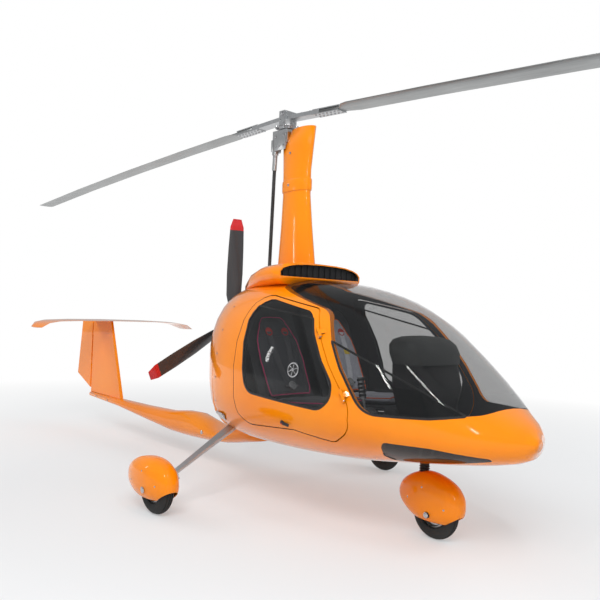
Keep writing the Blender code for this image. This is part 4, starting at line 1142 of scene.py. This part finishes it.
# columns: foot and top of each lever
LEVERS = [
    ((-0.015, -0.80, 0.635), (-0.015, -0.86, 0.735)),
    ((0.015, -0.66, 0.635), (0.010, -0.62, 0.745)),
]
KNOB = [(0, -0.012), (0.012, -0.010), (0.015, 0.006), (0.012, 0.020), (0, 0.024)]
bm = bmesh.new()
for foot, top in LEVERS:
    tube(bm, [foot, top], 0.005)
finished("console_levers", bm, bright_steel, "airframe")
knobs = [(KNOB, top, (0, -0.2, 1), 18) for _, top in LEVERS]
turned_piece("lever_knobs", red_moulding, "airframe", knobs)

BOOT = [
    (0, 0), (0.050, 0), (0.048, 0.006), (0.034, 0.018), (0.037, 0.026), (0.026, 0.036), (0.028, 0.044),
    (0.014, 0.060), (0, 0.060),
]
# columns: height of each ring of the grip, its radius
GRIP_RINGS = [(0.800, 0.0225), (0.822, 0.0215), (0.844, 0.0215), (0.866, 0.0225), (0.890, 0.0240)]
shapes = []
for side_name, side in SIDES:
    shapes.append((BOOT, (side * SEAT_X, -1.160, FLOOR_LEVEL), (0, 0.05, 1), 24))
    for height, swell in GRIP_RINGS:
        ring = [(0.016, -0.009), (swell, -0.006), (swell, 0.006), (0.016, 0.009)]
        place_on_stick = (side * SEAT_X, -1.100 + (height - 0.780) * 0.2, height)
        shapes.append((ring, place_on_stick, (0, 0.2, 1), 20))
turned_piece("stick_boots_and_grips", black_moulding, "airframe", shapes)

# %% [markdown]
# ## Doors
# Each door carries a round air vent in its window, a latch low on its skin, a lining and a pull strap
# inside. All of them ride on the door. The vent and latch are turned and bevelled shapes set on the
# skin, with their axis along the way out of the skin, so they sit flat on the curved panel.

# %% Door fittings
# columns: z, front y, rear y
LINING_ROWS = [
    (0.600, -1.120, -0.400), (0.640, -1.180, -0.385), (0.690, -1.150, -0.380), (0.722, -1.110, -0.380),
]
LINING_STEPS = 24
LINING_DEPTHS = (0.0225, 0.0265)
VENT_RING = [(0.044, 0), (0.044, 0.004), (0.040, 0.006), (0.036, 0.0045), (0.036, 0.0)]
VENT_HUB = [(0, 0.003), (0.009, 0.003), (0.009, 0.006), (0, 0.007)]
VENT_DISC = [(0, 0.0005), (0.036, 0.0005), (0.036, 0.002), (0, 0.0025)]
LATCH_FOOT = [(0, 0), (0.017, 0), (0.017, 0.003), (0.014, 0.004), (0, 0.004)]
LATCH_MARK = [(0, 0), (0.005, 0), (0.005, 0.002), (0, 0.003)]


def inside_door(side, y, z, depth):
    point = on_skin(side, y, z)
    return point - way_out(point) * depth


for side_name, side in SIDES:
    door = "door_" + side_name
    spot = on_skin(side, -0.905, 0.946, 0.0005)
    axis = way_out(spot)
    bm = bmesh.new()
    turned(bm, VENT_RING, spot, axis, 40)
    turned(bm, VENT_HUB, spot, axis, 16)
    flat = axis.to_track_quat("X", "Z").to_matrix().to_4x4()
    for degrees in (20, 80, 140):
        spoke = flat @ Matrix.Rotation(radians(degrees), 4, "X")
        low, high = spot + Vector((0.003, -0.037, -0.0022)), spot + Vector((0.0055, 0.037, 0.0022))
        block(bm, low, high, 0.0006, spoke, spot)
    finished("vent_ring_" + side_name, bm, bright_steel, door)
    turned_piece("vent_disc_" + side_name, black_moulding, door, [(VENT_DISC, spot, axis, 40)])

    spot = on_skin(side, -0.801, 0.626)
    axis = way_out(spot)
    bm = bmesh.new()
    turned(bm, LATCH_FOOT, spot, axis, 24)
    low, high = spot + Vector((-0.004, -0.060, -0.009)), spot + Vector((0.004, 0.014, 0.009))
    block(bm, low + axis * 0.007, high + axis * 0.007, 0.003, Matrix.Rotation(radians(8), 4, "X"))
    finished("latch_" + side_name, bm, black_moulding, door)
    mark = [(LATCH_MARK, spot + axis * 0.012, axis, 16)]
    turned_piece("latch_mark_" + side_name, red_moulding, door, mark)

    bm = bmesh.new()
    for depth in LINING_DEPTHS:
        grid = []
        for z, front, rear in LINING_ROWS:
            ys = [front + (rear - front) * k / LINING_STEPS for k in range(LINING_STEPS + 1)]
            grid.append([bm.verts.new(inside_door(side, y, z, depth)) for y in ys])
        for low, high in zip(grid, grid[1:]):
            for i in range(LINING_STEPS):
                bm.faces.new((low[i], low[i + 1], high[i + 1], high[i]))
    bmesh.ops.bridge_loops(bm, edges=[edge for edge in bm.edges if edge.is_boundary])
    finished("door_lining_" + side_name, bm, grey_moulding, door, 60)
    bm = bmesh.new()
    pull = []
    for k in range(5):
        arch = sin(pi * k / 4)
        pull.append(inside_door(side, -0.95 + 0.06 * k, 0.668 + 0.010 * arch, 0.030 + 0.022 * arch))
    tube(bm, pull, 0.007, 12)
    finished("door_pull_" + side_name, bm, black_moulding, door)

# %% Hinge pins
HINGE_STAND = 0.021
HINGE_FOOT_Y, HINGE_FOOT_Z = -1.312, 0.785
HINGE_LEAN = 0.395 / 0.521
HINGE_HALF = 0.0335
PIN_END = [(0, 0), (0.0065, 0), (0.0065, 0.002), (0.004, 0.004), (0, 0.0045)]
for side_name, side in SIDES:
    ends = []
    for z in (1.17, 0.84):
        y = HINGE_FOOT_Y + HINGE_LEAN * (z - HINGE_FOOT_Z)
        ends.append(Vector((side * (shell_half(y, z) + HINGE_STAND), y, z)))
    axis = (ends[0] - ends[1]).normalized()
    pins = [(PIN_END, spot + axis * way * HINGE_HALF, axis * way, 16) for spot in ends for way in (1, -1)]
    turned_piece("hinge_pins_" + side_name, bright_steel, "door_" + side_name, pins)
print("door fittings made")

# %% [markdown]
# ## Roof intake and mast
# The intake's mouth is closed a little way in by a near-black sheet with a mesh-like grain, painted shade
# that stands for the dark duct behind it, and thin black bars stand in front of it. The mast cover is made
# of two lengths, and the upper one overlaps the lower in a raised collar, held by a bolt on each side.

# %% Intake bars and painted duct shade
# A near-black finish with a mesh-like grain: painted shade for the dark insides of the intake duct and the
# engine bay
painted_shade_black = grained("near_black_painted_shade", (0.006, 0.006, 0.007), (0.014, 0.014, 0.015), 0.60, 140.0, 1.0)
MOUTH_FLOOR = 1.5155


def mouth_ring(y):
    """The intake's mouth, cut off flat where it meets the roof."""
    outline = rounded_outline(0.3725, 0.0755, 2.6, 44)
    return [Vector((across, y, max(1.5265 + up, MOUTH_FLOOR))) for across, up in outline]


# A closed near-black sheet across the mouth: painted shade for the duct behind it
bm = bmesh.new()
skin_rings(bm, [mouth_ring(-0.392), mouth_ring(-0.388)])
finished("intake_duct_painted_shade", bm, painted_shade_black, "airframe")
bm = bmesh.new()
for k in range(13):
    x = -0.330 + 0.055 * k
    top = 1.596 - 0.9 * abs(x) ** 3
    block(bm, (x - 0.0012, -0.400, MOUTH_FLOOR), (x + 0.0012, -0.392, top), 0.0004)
finished("intake_bars", bm, black_moulding, "airframe")

# %% Mast collar
# columns: z, front y, rear y, half thickness
MAST_ROWS = [
    (1.400, -0.370, 0.075, 0.085),
    (1.630, -0.330, 0.050, 0.065),
    (1.900, -0.290, 0.030, 0.056),
    (2.120, -0.262, 0.020, 0.052),
    (2.300, -0.262, 0.025, 0.050),
    (2.480, -0.285, 0.035, 0.050),
    (2.605, -0.300, -0.055, 0.046),
]
# columns: z, how far it stands off the mast
COLLAR = [(2.150, 0.0), (2.150, 0.005), (2.165, 0.0075), (2.222, 0.0075), (2.235, 0.004), (2.240, 0.0)]
# columns: z, how far the bolt stands off the mast
MAST_BOLTS = [(2.195, 0.0045), (2.430, -0.001)]


def mast_ring(z, grow, count=40):
    k = max(i for i in range(len(MAST_ROWS) - 1) if MAST_ROWS[i][0] <= z)
    low, high = MAST_ROWS[k], MAST_ROWS[k + 1]
    u = (z - low[0]) / (high[0] - low[0])
    front, rear, half = (low[c] + (high[c] - low[c]) * u for c in (1, 2, 3))
    ring = []
    for i in range(count):
        angle = 2 * pi * (i + 0.5) / count
        y = (front + rear) / 2 + ((rear - front) / 2 + grow) * cos(angle)
        ring.append(Vector(((half + grow) * sin(angle) * (1 - 0.25 * cos(angle)), y, z)))
    return ring


bm = bmesh.new()
skin_rings(bm, [mast_ring(z, grow) for z, grow in COLLAR], closed=True)
finished("mast_collar", bm, plain_paint, "airframe", 50)
bm = bmesh.new()
for side_name, side in SIDES:
    for z, stand in MAST_BOLTS:
        x = max(point.x for point in mast_ring(z, 0.0)) + stand
        bolt(bm, (side * x, -0.098, z), (side, 0, 0), 0.0075)
finished("mast_bolts", bm, bright_steel, "airframe")

# %% [markdown]
# ## Rotor head
# This is the machine's one truly special joint. The two blades are bolted to one bar, and that bar rocks
# like a see-saw on a single bolt, so the blade that meets more wind can rise. Below it a bearing block
# tilts to steer. The bar's bolts ride on the rotor body, the see-saw's bolt and the gear ring on the
# spinning hub, and the bearing block's plates on the airframe. The rotor is parked a little askew, so its
# pieces are made square and then turned by the same angle.

# %% Rotor head
PARK_YAW = Matrix.Rotation(radians(2.2), 4, "Z")
HUB_HEIGHT = 2.705
TEETER_HEIGHT = 2.735
BAR_SLOPE = atan2(0.045, 1)
BAR_BOLT_ACROSS = 0.022
TEETH = 48
TOOTH_INNER, TOOTH_OUTER = 0.0865, 0.0915
SPIN_UP_DRIVE = [(0, 0), (0.0175, 0), (0.0175, 0.110), (0.024, 0.114), (0.024, 0.140), (0, 0.140)]


def bar_arm(way):
    """The place and slope of one arm of the bar."""
    return PARK_YAW @ Matrix.Translation((0, 0, HUB_HEIGHT)) @ Matrix.Rotation(-way * BAR_SLOPE, 4, "X")


bm = bmesh.new()
for way in (-1, 1):
    arm = bar_arm(way)
    up = (arm.to_3x3() @ Vector((0, 0, 1))).normalized()
    for k in range(7):
        for across in (-BAR_BOLT_ACROSS, BAR_BOLT_ACROSS):
            for turn in (1, -1):
                spot = arm @ Vector((across, way * (0.318 + 0.036 * k), turn * 0.019))
                bolt(bm, spot, up * turn, 0.0065)
    for k in range(3):
        for across in (-BAR_BOLT_ACROSS, BAR_BOLT_ACROSS):
            bolt(bm, arm @ Vector((across, way * (0.085 + 0.085 * k), 0.015)), up, 0.008)
finished("hub_bar_bolts", bm, bright_steel, "rotor")

bm = bmesh.new()
for side in (-1, 1):
    outwards = PARK_YAW.to_3x3() @ Vector((side, 0, 0))
    end = PARK_YAW @ Vector((side * 0.0752, 0, TEETER_HEIGHT))
    bolt(bm, end - outwards * 0.0135, outwards, 0.0135)
    for y, z in ((-0.018, 2.665), (0.018, 2.690)):
        bolt(bm, PARK_YAW @ Vector((side * 0.061, y, z)), outwards, 0.006)
finished("teeter_bolt_heads", bm, bright_steel, "rotor_hub")

bm = bmesh.new()
gear = []
for z in (2.6335, 2.6425):
    ring = []
    for i in range(TEETH * 4):
        radius = TOOTH_OUTER if i % 4 in (1, 2) else TOOTH_INNER
        angle = 2 * pi * i / (TEETH * 4)
        ring.append(Vector((radius * cos(angle), radius * sin(angle), z)))
    gear.append(ring)
skin_rings(bm, gear)
finished("spin_up_gear", bm, bright_steel, "rotor_hub")

bm = bmesh.new()
for side in (-1, 1):
    low_x, high_x = sorted((side * 0.045, side * 0.053))
    block(bm, (low_x, -0.040, 2.470), (high_x, 0.095, 2.600), 0.004)
block(bm, (-0.050, 0.100, 2.470), (0.030, 0.128, 2.560), 0.005)
turned(bm, SPIN_UP_DRIVE, (-0.030, 0.1015, 2.330), (0, -0.04, 1), 24)
finished("bearing_block_plates", bm, milled_metal, "airframe")
bm = bmesh.new()
for side in (-1, 1):
    for y, z in ((-0.020, 2.500), (0.030, 2.500), (0.075, 2.500), (-0.020, 2.575), (0.075, 2.575)):
        bolt(bm, (side * 0.053, y, z), (side, 0, 0), 0.0075)
for x, z in ((-0.035, 2.490), (0.015, 2.490), (-0.035, 2.540), (0.015, 2.540)):
    bolt(bm, (x, 0.128, z), REARWARDS, 0.006)
finished("bearing_block_bolts", bm, bright_steel, "airframe")
print("rotor head bolts and plates made")

# %% [markdown]
# ## Propeller hub and engine bay
# The blades meet in a round hub closed by a clamping plate with a ring of bolts. Ahead of it the cowl's
# open tail is closed round the gearbox by a near-black sheet, painted shade for the dark engine bay, and
# the exhaust comes out low on one side, its mouth filled by a black disc of painted shade.

# %% Propeller hub
PROP_PLATE = [
    (0, 0.0325), (0.060, 0.0325), (0.060, 0.040), (0.052, 0.044), (0.020, 0.045), (0.018, 0.056), (0, 0.058),
]


def bolt_circle(bm, centre, radius, count, size):
    """Bolts in a ring that faces the rear."""
    for k in range(count):
        angle = 2 * pi * (k + 0.5) / count
        spot = Vector(centre) + Vector((radius * cos(angle), 0, radius * sin(angle)))
        bolt(bm, spot, REARWARDS, size)


plate = [(PROP_PLATE, PROP_CENTRE, REARWARDS, 40)]
turned_piece("propeller_plate", milled_metal, "propeller", plate)
bm = bmesh.new()
bolt_circle(bm, Vector(PROP_CENTRE) + Vector((0, 0.044, 0)), 0.041, 6, 0.0065)
finished("propeller_bolts", bm, bright_steel, "propeller")

# %% Painted engine-bay shade and exhaust
BAY_SHADE_FRONT, BAY_SHADE_REAR = 0.385, 0.389
BAY_SHADE_INSET = 0.012
BAY_SHADE_HOLE = 0.095
SHAFT_HEIGHT = PROP_CENTRE[2]
PIPE_ROUTE = [
    (-0.12, 0.20, 0.80), (-0.125, 0.34, 0.785), (-0.130, 0.43, 0.765), (-0.135, 0.50, 0.735),
    (-0.137, 0.535, 0.715),
]
PIPE_WAY = (-0.02, 0.87, -0.5)
PIPE_RIM = [(0.021, 0), (0.0285, 0), (0.0285, 0.008), (0.021, 0.008)]
PIPE_MOUTH_SHADE = [(0, 0.0005), (0.0205, 0.0005), (0.0205, 0.0012), (0, 0.0012)]


def shell_ring(y, inset, count=48):
    """The shell's outline at one place, drawn in by an inset."""
    bottom, middle, top, half, low_power, high_power = shell_section(y)
    ring = []
    for i in range(count):
        angle = 2 * pi * (i + 0.5) / count
        above = sin(angle) >= 0
        power = high_power if above else low_power
        reach = (top - middle if above else middle - bottom) - inset
        across = (half - inset) * curve_power(cos(angle), power)
        ring.append(Vector((across, y, middle + reach * curve_power(sin(angle), power))))
    return ring


def hole_ring(y, centre_z, radius, count=48):
    angles = [2 * pi * (i + 0.5) / count for i in range(count)]
    return [Vector((radius * cos(a), y, centre_z + radius * sin(a))) for a in angles]


# A near-black sheet with a hole for the shaft closes the cowl's tail: painted shade for the dark engine bay
bm = bmesh.new()
rows = [shell_ring(y, BAY_SHADE_INSET) for y in (BAY_SHADE_FRONT, BAY_SHADE_REAR)]
rows += [hole_ring(y, SHAFT_HEIGHT, BAY_SHADE_HOLE) for y in (BAY_SHADE_REAR, BAY_SHADE_FRONT)]
skin_rings(bm, rows, closed=True)
finished("engine_bay_painted_shade", bm, painted_shade_black, "airframe", 50)
heat_steel = brushed_metal("heat_stained_steel", (0.22, 0.17, 0.13), (0.40, 0.33, 0.26), 0.40, EVENLY, 60.0)
bm = bmesh.new()
tube(bm, PIPE_ROUTE, 0.026, 24)
turned(bm, PIPE_RIM, (-0.137, 0.533, 0.716), PIPE_WAY, 24)
finished("exhaust_pipe", bm, heat_steel, "airframe")
# A black disc just inside the pipe's lip, in the seal rubber's black: painted shade for the pipe's dark
# hollow
mouth = [(PIPE_MOUTH_SHADE, (-0.1371, 0.5385, 0.7128), PIPE_WAY, 24)]
turned_piece("exhaust_mouth_painted_shade", seal_rubber, "airframe", mouth)
bm = bmesh.new()
bolt_circle(bm, (0, 0.470, SHAFT_HEIGHT), 0.060, 8, 0.0055)
for k in range(6):
    half = 0.205 - 0.01 * (k % 2)
    block(bm, (-half, 0.20, 0.86 + 0.06 * k), (half, 0.222, 0.868 + 0.06 * k), 0.002)
finished("gearbox_bolts_and_fins", bm, cast_metal, "airframe")

# %% Shell fasteners
FASTENER = [(0, 0), (0.007, 0), (0.007, 0.0012), (0.0055, 0.0018), (0, 0.0018)]
FASTENER_Y = -0.030
bm = bmesh.new()
for side_name, side in SIDES:
    for z in (0.50, 0.66, 0.82, 0.98, 1.14, 1.30):
        spot = on_skin(side, FASTENER_Y, z)
        axis = way_out(spot)
        turned(bm, FASTENER, spot, axis, 16)
        low, high = spot - Vector((0.001, 0.0045, 0.0007)), spot + Vector((0.001, 0.0045, 0.0007))
        block(bm, low, high + axis * 0.001, 0.0002)
finished("cowl_fasteners", bm, bright_steel, "airframe")

# %% [markdown]
# ## Undercarriage
# The legs are sprung metal bars bolted under the shell. Each main wheel has a brake disc beside it. The
# tyres get their running grooves by turning a profile with steps in it, so the grooves are real shape.
# The wheel covers are skinned over rounded outlines and opened below by two flat cuts, then given a wall.

# %% Tyres
TRACK_HALF = 1.06
MAIN_WHEEL_Y = -0.12
NOSE_WHEEL_Y = -1.445
MAIN_RADIUS = 0.160
NOSE_RADIUS = 0.150
SHOULDER = (84, 72, 60, 50, 41, 33)


def tyre_profile(radius, width):
    """From one bead over the tread to the other, with three grooves."""
    bead, half = radius * 0.56, width / 2

    def wall(degrees, way):
        a = radians(degrees)
        return radius - half * (1 - cos(a)), way * half * sin(a)

    profile = [(bead, half * 0.62), (bead + 0.004, half * 0.82), (bead + 0.012, half * 0.88)]
    profile += [wall(degrees, 1) for degrees in (*SHOULDER, 26)]
    for place_across in (0.36, 0.0, -0.36):
        for shift, depth in ((0.075, 0.0), (0.055, 0.004), (-0.055, 0.004), (-0.075, 0.0)):
            spot = place_across + shift
            crown = radius - half * (1 - cos(radians(spot * 90 * 0.7)))
            profile.append((crown - depth, half * spot))
    profile += [wall(degrees, -1) for degrees in reversed(SHOULDER)]
    profile += [(bead + 0.012, -half * 0.88), (bead + 0.004, -half * 0.82), (bead, -half * 0.62)]
    return profile


# columns: name, body, centre, radius, width
WHEELS = [
    ("starboard", "wheel_starboard", (-TRACK_HALF, MAIN_WHEEL_Y, MAIN_RADIUS), MAIN_RADIUS, 0.090),
    ("port", "wheel_port", (TRACK_HALF, MAIN_WHEEL_Y, MAIN_RADIUS), MAIN_RADIUS, 0.090),
    ("nose", "nose_wheel", (0, NOSE_WHEEL_Y, NOSE_RADIUS), NOSE_RADIUS, 0.085),
]
for tag, body, centre, radius, width in WHEELS:
    bm = bmesh.new()
    profile = tyre_profile(radius, width)
    turned(bm, profile + [profile[0]], centre, (1, 0, 0), 72)
    tread = finished("grooved_tyre_" + tag, bm, tyre_rubber, body, 28)
    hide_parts("tyre_" + tag)
    bm = bmesh.new()
    for k in range(5):
        angle = 2 * pi * k / 5
        for way in (-1, 1):
            spot = Vector(centre) + Vector((way * width * 0.10, 0.055 * cos(angle), 0.055 * sin(angle)))
            bolt(bm, spot, (way, 0, 0), 0.005)
    finished("rim_bolts_" + tag, bm, bright_steel, body)

# %% Wheel covers
# columns: y from the wheel's centre, bottom z, top z, half width
MAIN_COVER = [
    (-0.193, 0.180, 0.212, 0.010),
    (-0.190, 0.165, 0.225, 0.022),
    (-0.172, 0.125, 0.262, 0.050),
    (-0.120, 0.090, 0.308, 0.078),
    (-0.030, 0.070, 0.340, 0.098),
    (0.070, 0.070, 0.345, 0.100),
    (0.165, 0.088, 0.330, 0.090),
    (0.245, 0.115, 0.300, 0.068),
    (0.305, 0.150, 0.258, 0.038),
    (0.330, 0.180, 0.225, 0.016),
    (0.333, 0.192, 0.212, 0.006),
]
NOSE_COVER = [
    (-0.190, 0.195, 0.230, 0.010),
    (-0.187, 0.180, 0.245, 0.022),
    (-0.168, 0.140, 0.285, 0.050),
    (-0.115, 0.102, 0.335, 0.078),
    (-0.025, 0.082, 0.370, 0.092),
    (0.060, 0.085, 0.380, 0.092),
    (0.145, 0.110, 0.358, 0.078),
    (0.220, 0.155, 0.312, 0.048),
    (0.258, 0.195, 0.262, 0.020),
    (0.262, 0.215, 0.243, 0.008),
]
COVER_POWER = 2.4
COVER_FLOOR = 0.108
COVER_WALL = 0.004
# The cuts that open a cover below, as (y from the wheel's centre, way up)
COVER_CUTS = [(0.0, (0, 0, 1)), (-0.100, (0, 0.557, 0.830))]
# columns: name, body, table, x, y
COVERS = [
    ("starboard", "airframe", MAIN_COVER, -TRACK_HALF, MAIN_WHEEL_Y),
    ("port", "airframe", MAIN_COVER, TRACK_HALF, MAIN_WHEEL_Y),
    ("nose", "nose_leg", NOSE_COVER, 0.0, NOSE_WHEEL_Y),
]


def cover_ring(row, x, y):
    shift, low, high, half = row
    outline = rounded_outline(half, (high - low) / 2, COVER_POWER, 48)
    return [Vector((x + across, y + shift, (low + high) / 2 + up)) for across, up in outline]


cover_shells = {}
for tag, body, rows, x, y in COVERS:
    bm = bmesh.new()
    skin_rings(bm, [cover_ring(row, x, y) for row in smooth_points(rows, 60)])
    for shift, way_up in COVER_CUTS:
        everything = bm.verts[:] + bm.edges[:] + bm.faces[:]
        spot = (x, y + shift, COVER_FLOOR)
        bmesh.ops.bisect_plane(bm, geom=everything, plane_co=spot, plane_no=way_up, clear_inner=True)
    cover = finished("wheel_cover_" + tag, bm, plain_paint, body, 50)
    wall = cover.modifiers.new("wall", "SOLIDIFY")
    wall.thickness = COVER_WALL
    wall.offset = -1
    swap_mesh(cover, settled_mesh(cover))
    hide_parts("pant_" + tag)
    cover_shells[tag] = cover.data

# %% Brakes, axle caps and leg fittings
BRAKE_DISC = [(0.034, 0.040), (0.070, 0.040), (0.070, 0.044), (0.034, 0.044), (0.034, 0.040)]
MAIN_AXLE_CAP = [(0, 0), (0.020, 0), (0.020, 0.003), (0.014, 0.006), (0, 0.007)]
LEG_Y = -0.06
for side_name, side in SIDES:
    wheel = Vector((side * TRACK_HALF, MAIN_WHEEL_Y, MAIN_RADIUS))
    inboard = Vector((-side, 0, 0))
    disc = [(BRAKE_DISC, wheel, inboard, 48)]
    turned_piece("brake_disc_" + side_name, bright_steel, "wheel_" + side_name, disc)
    bm = bmesh.new()
    low_x, high_x = sorted((wheel.x - side * 0.048, wheel.x - side * 0.072))
    block(bm, (low_x, wheel.y + 0.030, wheel.z + 0.020), (high_x, wheel.y + 0.062, wheel.z + 0.062), 0.004)
    leg_end_x = side * (TRACK_HALF - 0.118)
    low_x, high_x = sorted((leg_end_x - side * 0.020, leg_end_x + side * 0.004))
    block(bm, (low_x, MAIN_WHEEL_Y - 0.032, 0.135), (high_x, MAIN_WHEEL_Y + 0.032, 0.218), 0.004)
    finished("brake_body_" + side_name, bm, milled_metal, "airframe")
    bm = bmesh.new()
    for y, z in ((-0.024, 0.150), (0.024, 0.150), (-0.024, 0.204), (0.024, 0.204)):
        bolt(bm, (leg_end_x - side * 0.020, MAIN_WHEEL_Y + y, z), inboard, 0.006)
    turned(bm, MAIN_AXLE_CAP, wheel - inboard * 0.1002, -inboard, 28)
    for y, z in ((-0.055, 0.570), (0.060, 0.575)):
        base = on_skin(side, LEG_Y + y, z)
        bolt(bm, base, way_out(base), 0.0105)
    finished("leg_bolts_" + side_name, bm, bright_steel, "airframe")
    bm = bmesh.new()
    base = on_skin(side, LEG_Y, 0.545, 0.001)
    lean = way_out(base).to_track_quat("X", "Z").to_matrix().to_4x4()
    low, high = base + Vector((-0.003, -0.055, -0.012)), base + Vector((0.003, 0.055, 0.050))
    block(bm, low, high, 0.0025, lean, base)
    finished("leg_plate_" + side_name, bm, leg_metal, "airframe")

# %% Boom fittings
# columns: y, z, the boom's half width there, size of the bolt
BOOM_BOLTS = [(0.80, 0.275, 0.1255, 0.011), (2.90, 0.322, 0.0520, 0.006), (2.62, 0.312, 0.0625, 0.006)]
PLUG = [(0, 0), (0.018, 0), (0.018, 0.003), (0.012, 0.005), (0, 0.005)]
heads, plugs = [], []
for side in (-1, 1):
    for y, z, half, size in BOOM_BOLTS:
        head = [(0, 0), (size * 1.5, 0), (size * 1.5, 0.002), (size, 0.006), (0, 0.007)]
        heads.append((head, (side * half, y, z), (side, 0, 0), 20))
    plugs.append((PLUG, (side * 0.1525, 0.50, 0.290), (side, 0.12, 0.1), 24))
turned_piece("boom_bolts", bright_steel, "airframe", heads)
turned_piece("boom_plugs", black_moulding, "airframe", plugs)

# %% Nose leg
NOSE_AXLE_CAP = [(0, 0), (0.0165, 0), (0.0165, 0.003), (0.011, 0.006), (0, 0.0065)]
bellows = [(0.0225, 0.318)]
for k in range(7):
    z = 0.322 + 0.0145 * k
    bellows += [(0.025, z), (0.031, z + 0.005), (0.031, z + 0.0075), (0.025, z + 0.0125)]
bellows += [(0.0225, 0.427), (0.0225, 0.318)]
gaiter = [(bellows, (0, NOSE_WHEEL_Y + 0.090, 0), (0, 0, 1), 32)]
turned_piece("nose_leg_gaiter", seal_rubber, "nose_leg", gaiter)
caps = [(NOSE_AXLE_CAP, (side * 0.094, NOSE_WHEEL_Y, NOSE_RADIUS), (side, 0, 0), 24) for side in (-1, 1)]
turned_piece("nose_axle_caps", bright_steel, "nose_leg", caps)

# %% [markdown]
# ## Wheel covers' screws and the tail's hinge pins
# Small screws hold each wheel cover. They are set on the cover's own surface by looking along X at the
# cover and putting a screw where the line of sight meets it.

# %% Cover screws
# (y from the wheel's centre, z) of the screws on each flank
MAIN_SCREWS = ((-0.11, 0.20), (0.03, 0.27), (0.17, 0.19))
NOSE_SCREWS = ((-0.11, 0.20), (0.04, 0.30), (0.15, 0.22))
SCREW = [(0, -0.001), (0.0055, -0.001), (0.0055, 0.001), (0.004, 0.002), (0, 0.0022)]
RUDDER_PIN = [(0, 0), (0.0045, 0), (0.0045, 0.002), (0, 0.003)]
for tag, body, _, x, y in COVERS:
    mesh = cover_shells[tag]
    cover = BVHTree.FromPolygons([v.co for v in mesh.vertices], [p.vertices for p in mesh.polygons])
    screws = []
    for way in (-1, 1):
        for shift, z in NOSE_SCREWS if tag == "nose" else MAIN_SCREWS:
            hit, normal, _, _ = cover.ray_cast(Vector((x + way * 0.4, y + shift, z)), Vector((-way, 0, 0)))
            if hit:
                screws.append((SCREW, hit, normal, 14))
    turned_piece("cover_screws_" + tag, bright_steel, body, screws)
pins = [(RUDDER_PIN, (0, 3.12, z + way * 0.0303), (0, 0, way), 14) for z in (0.52, 0.98) for way in (-1, 1)]
turned_piece("rudder_pins", bright_steel, "rudder", pins)
print("screws, caps and pins made")
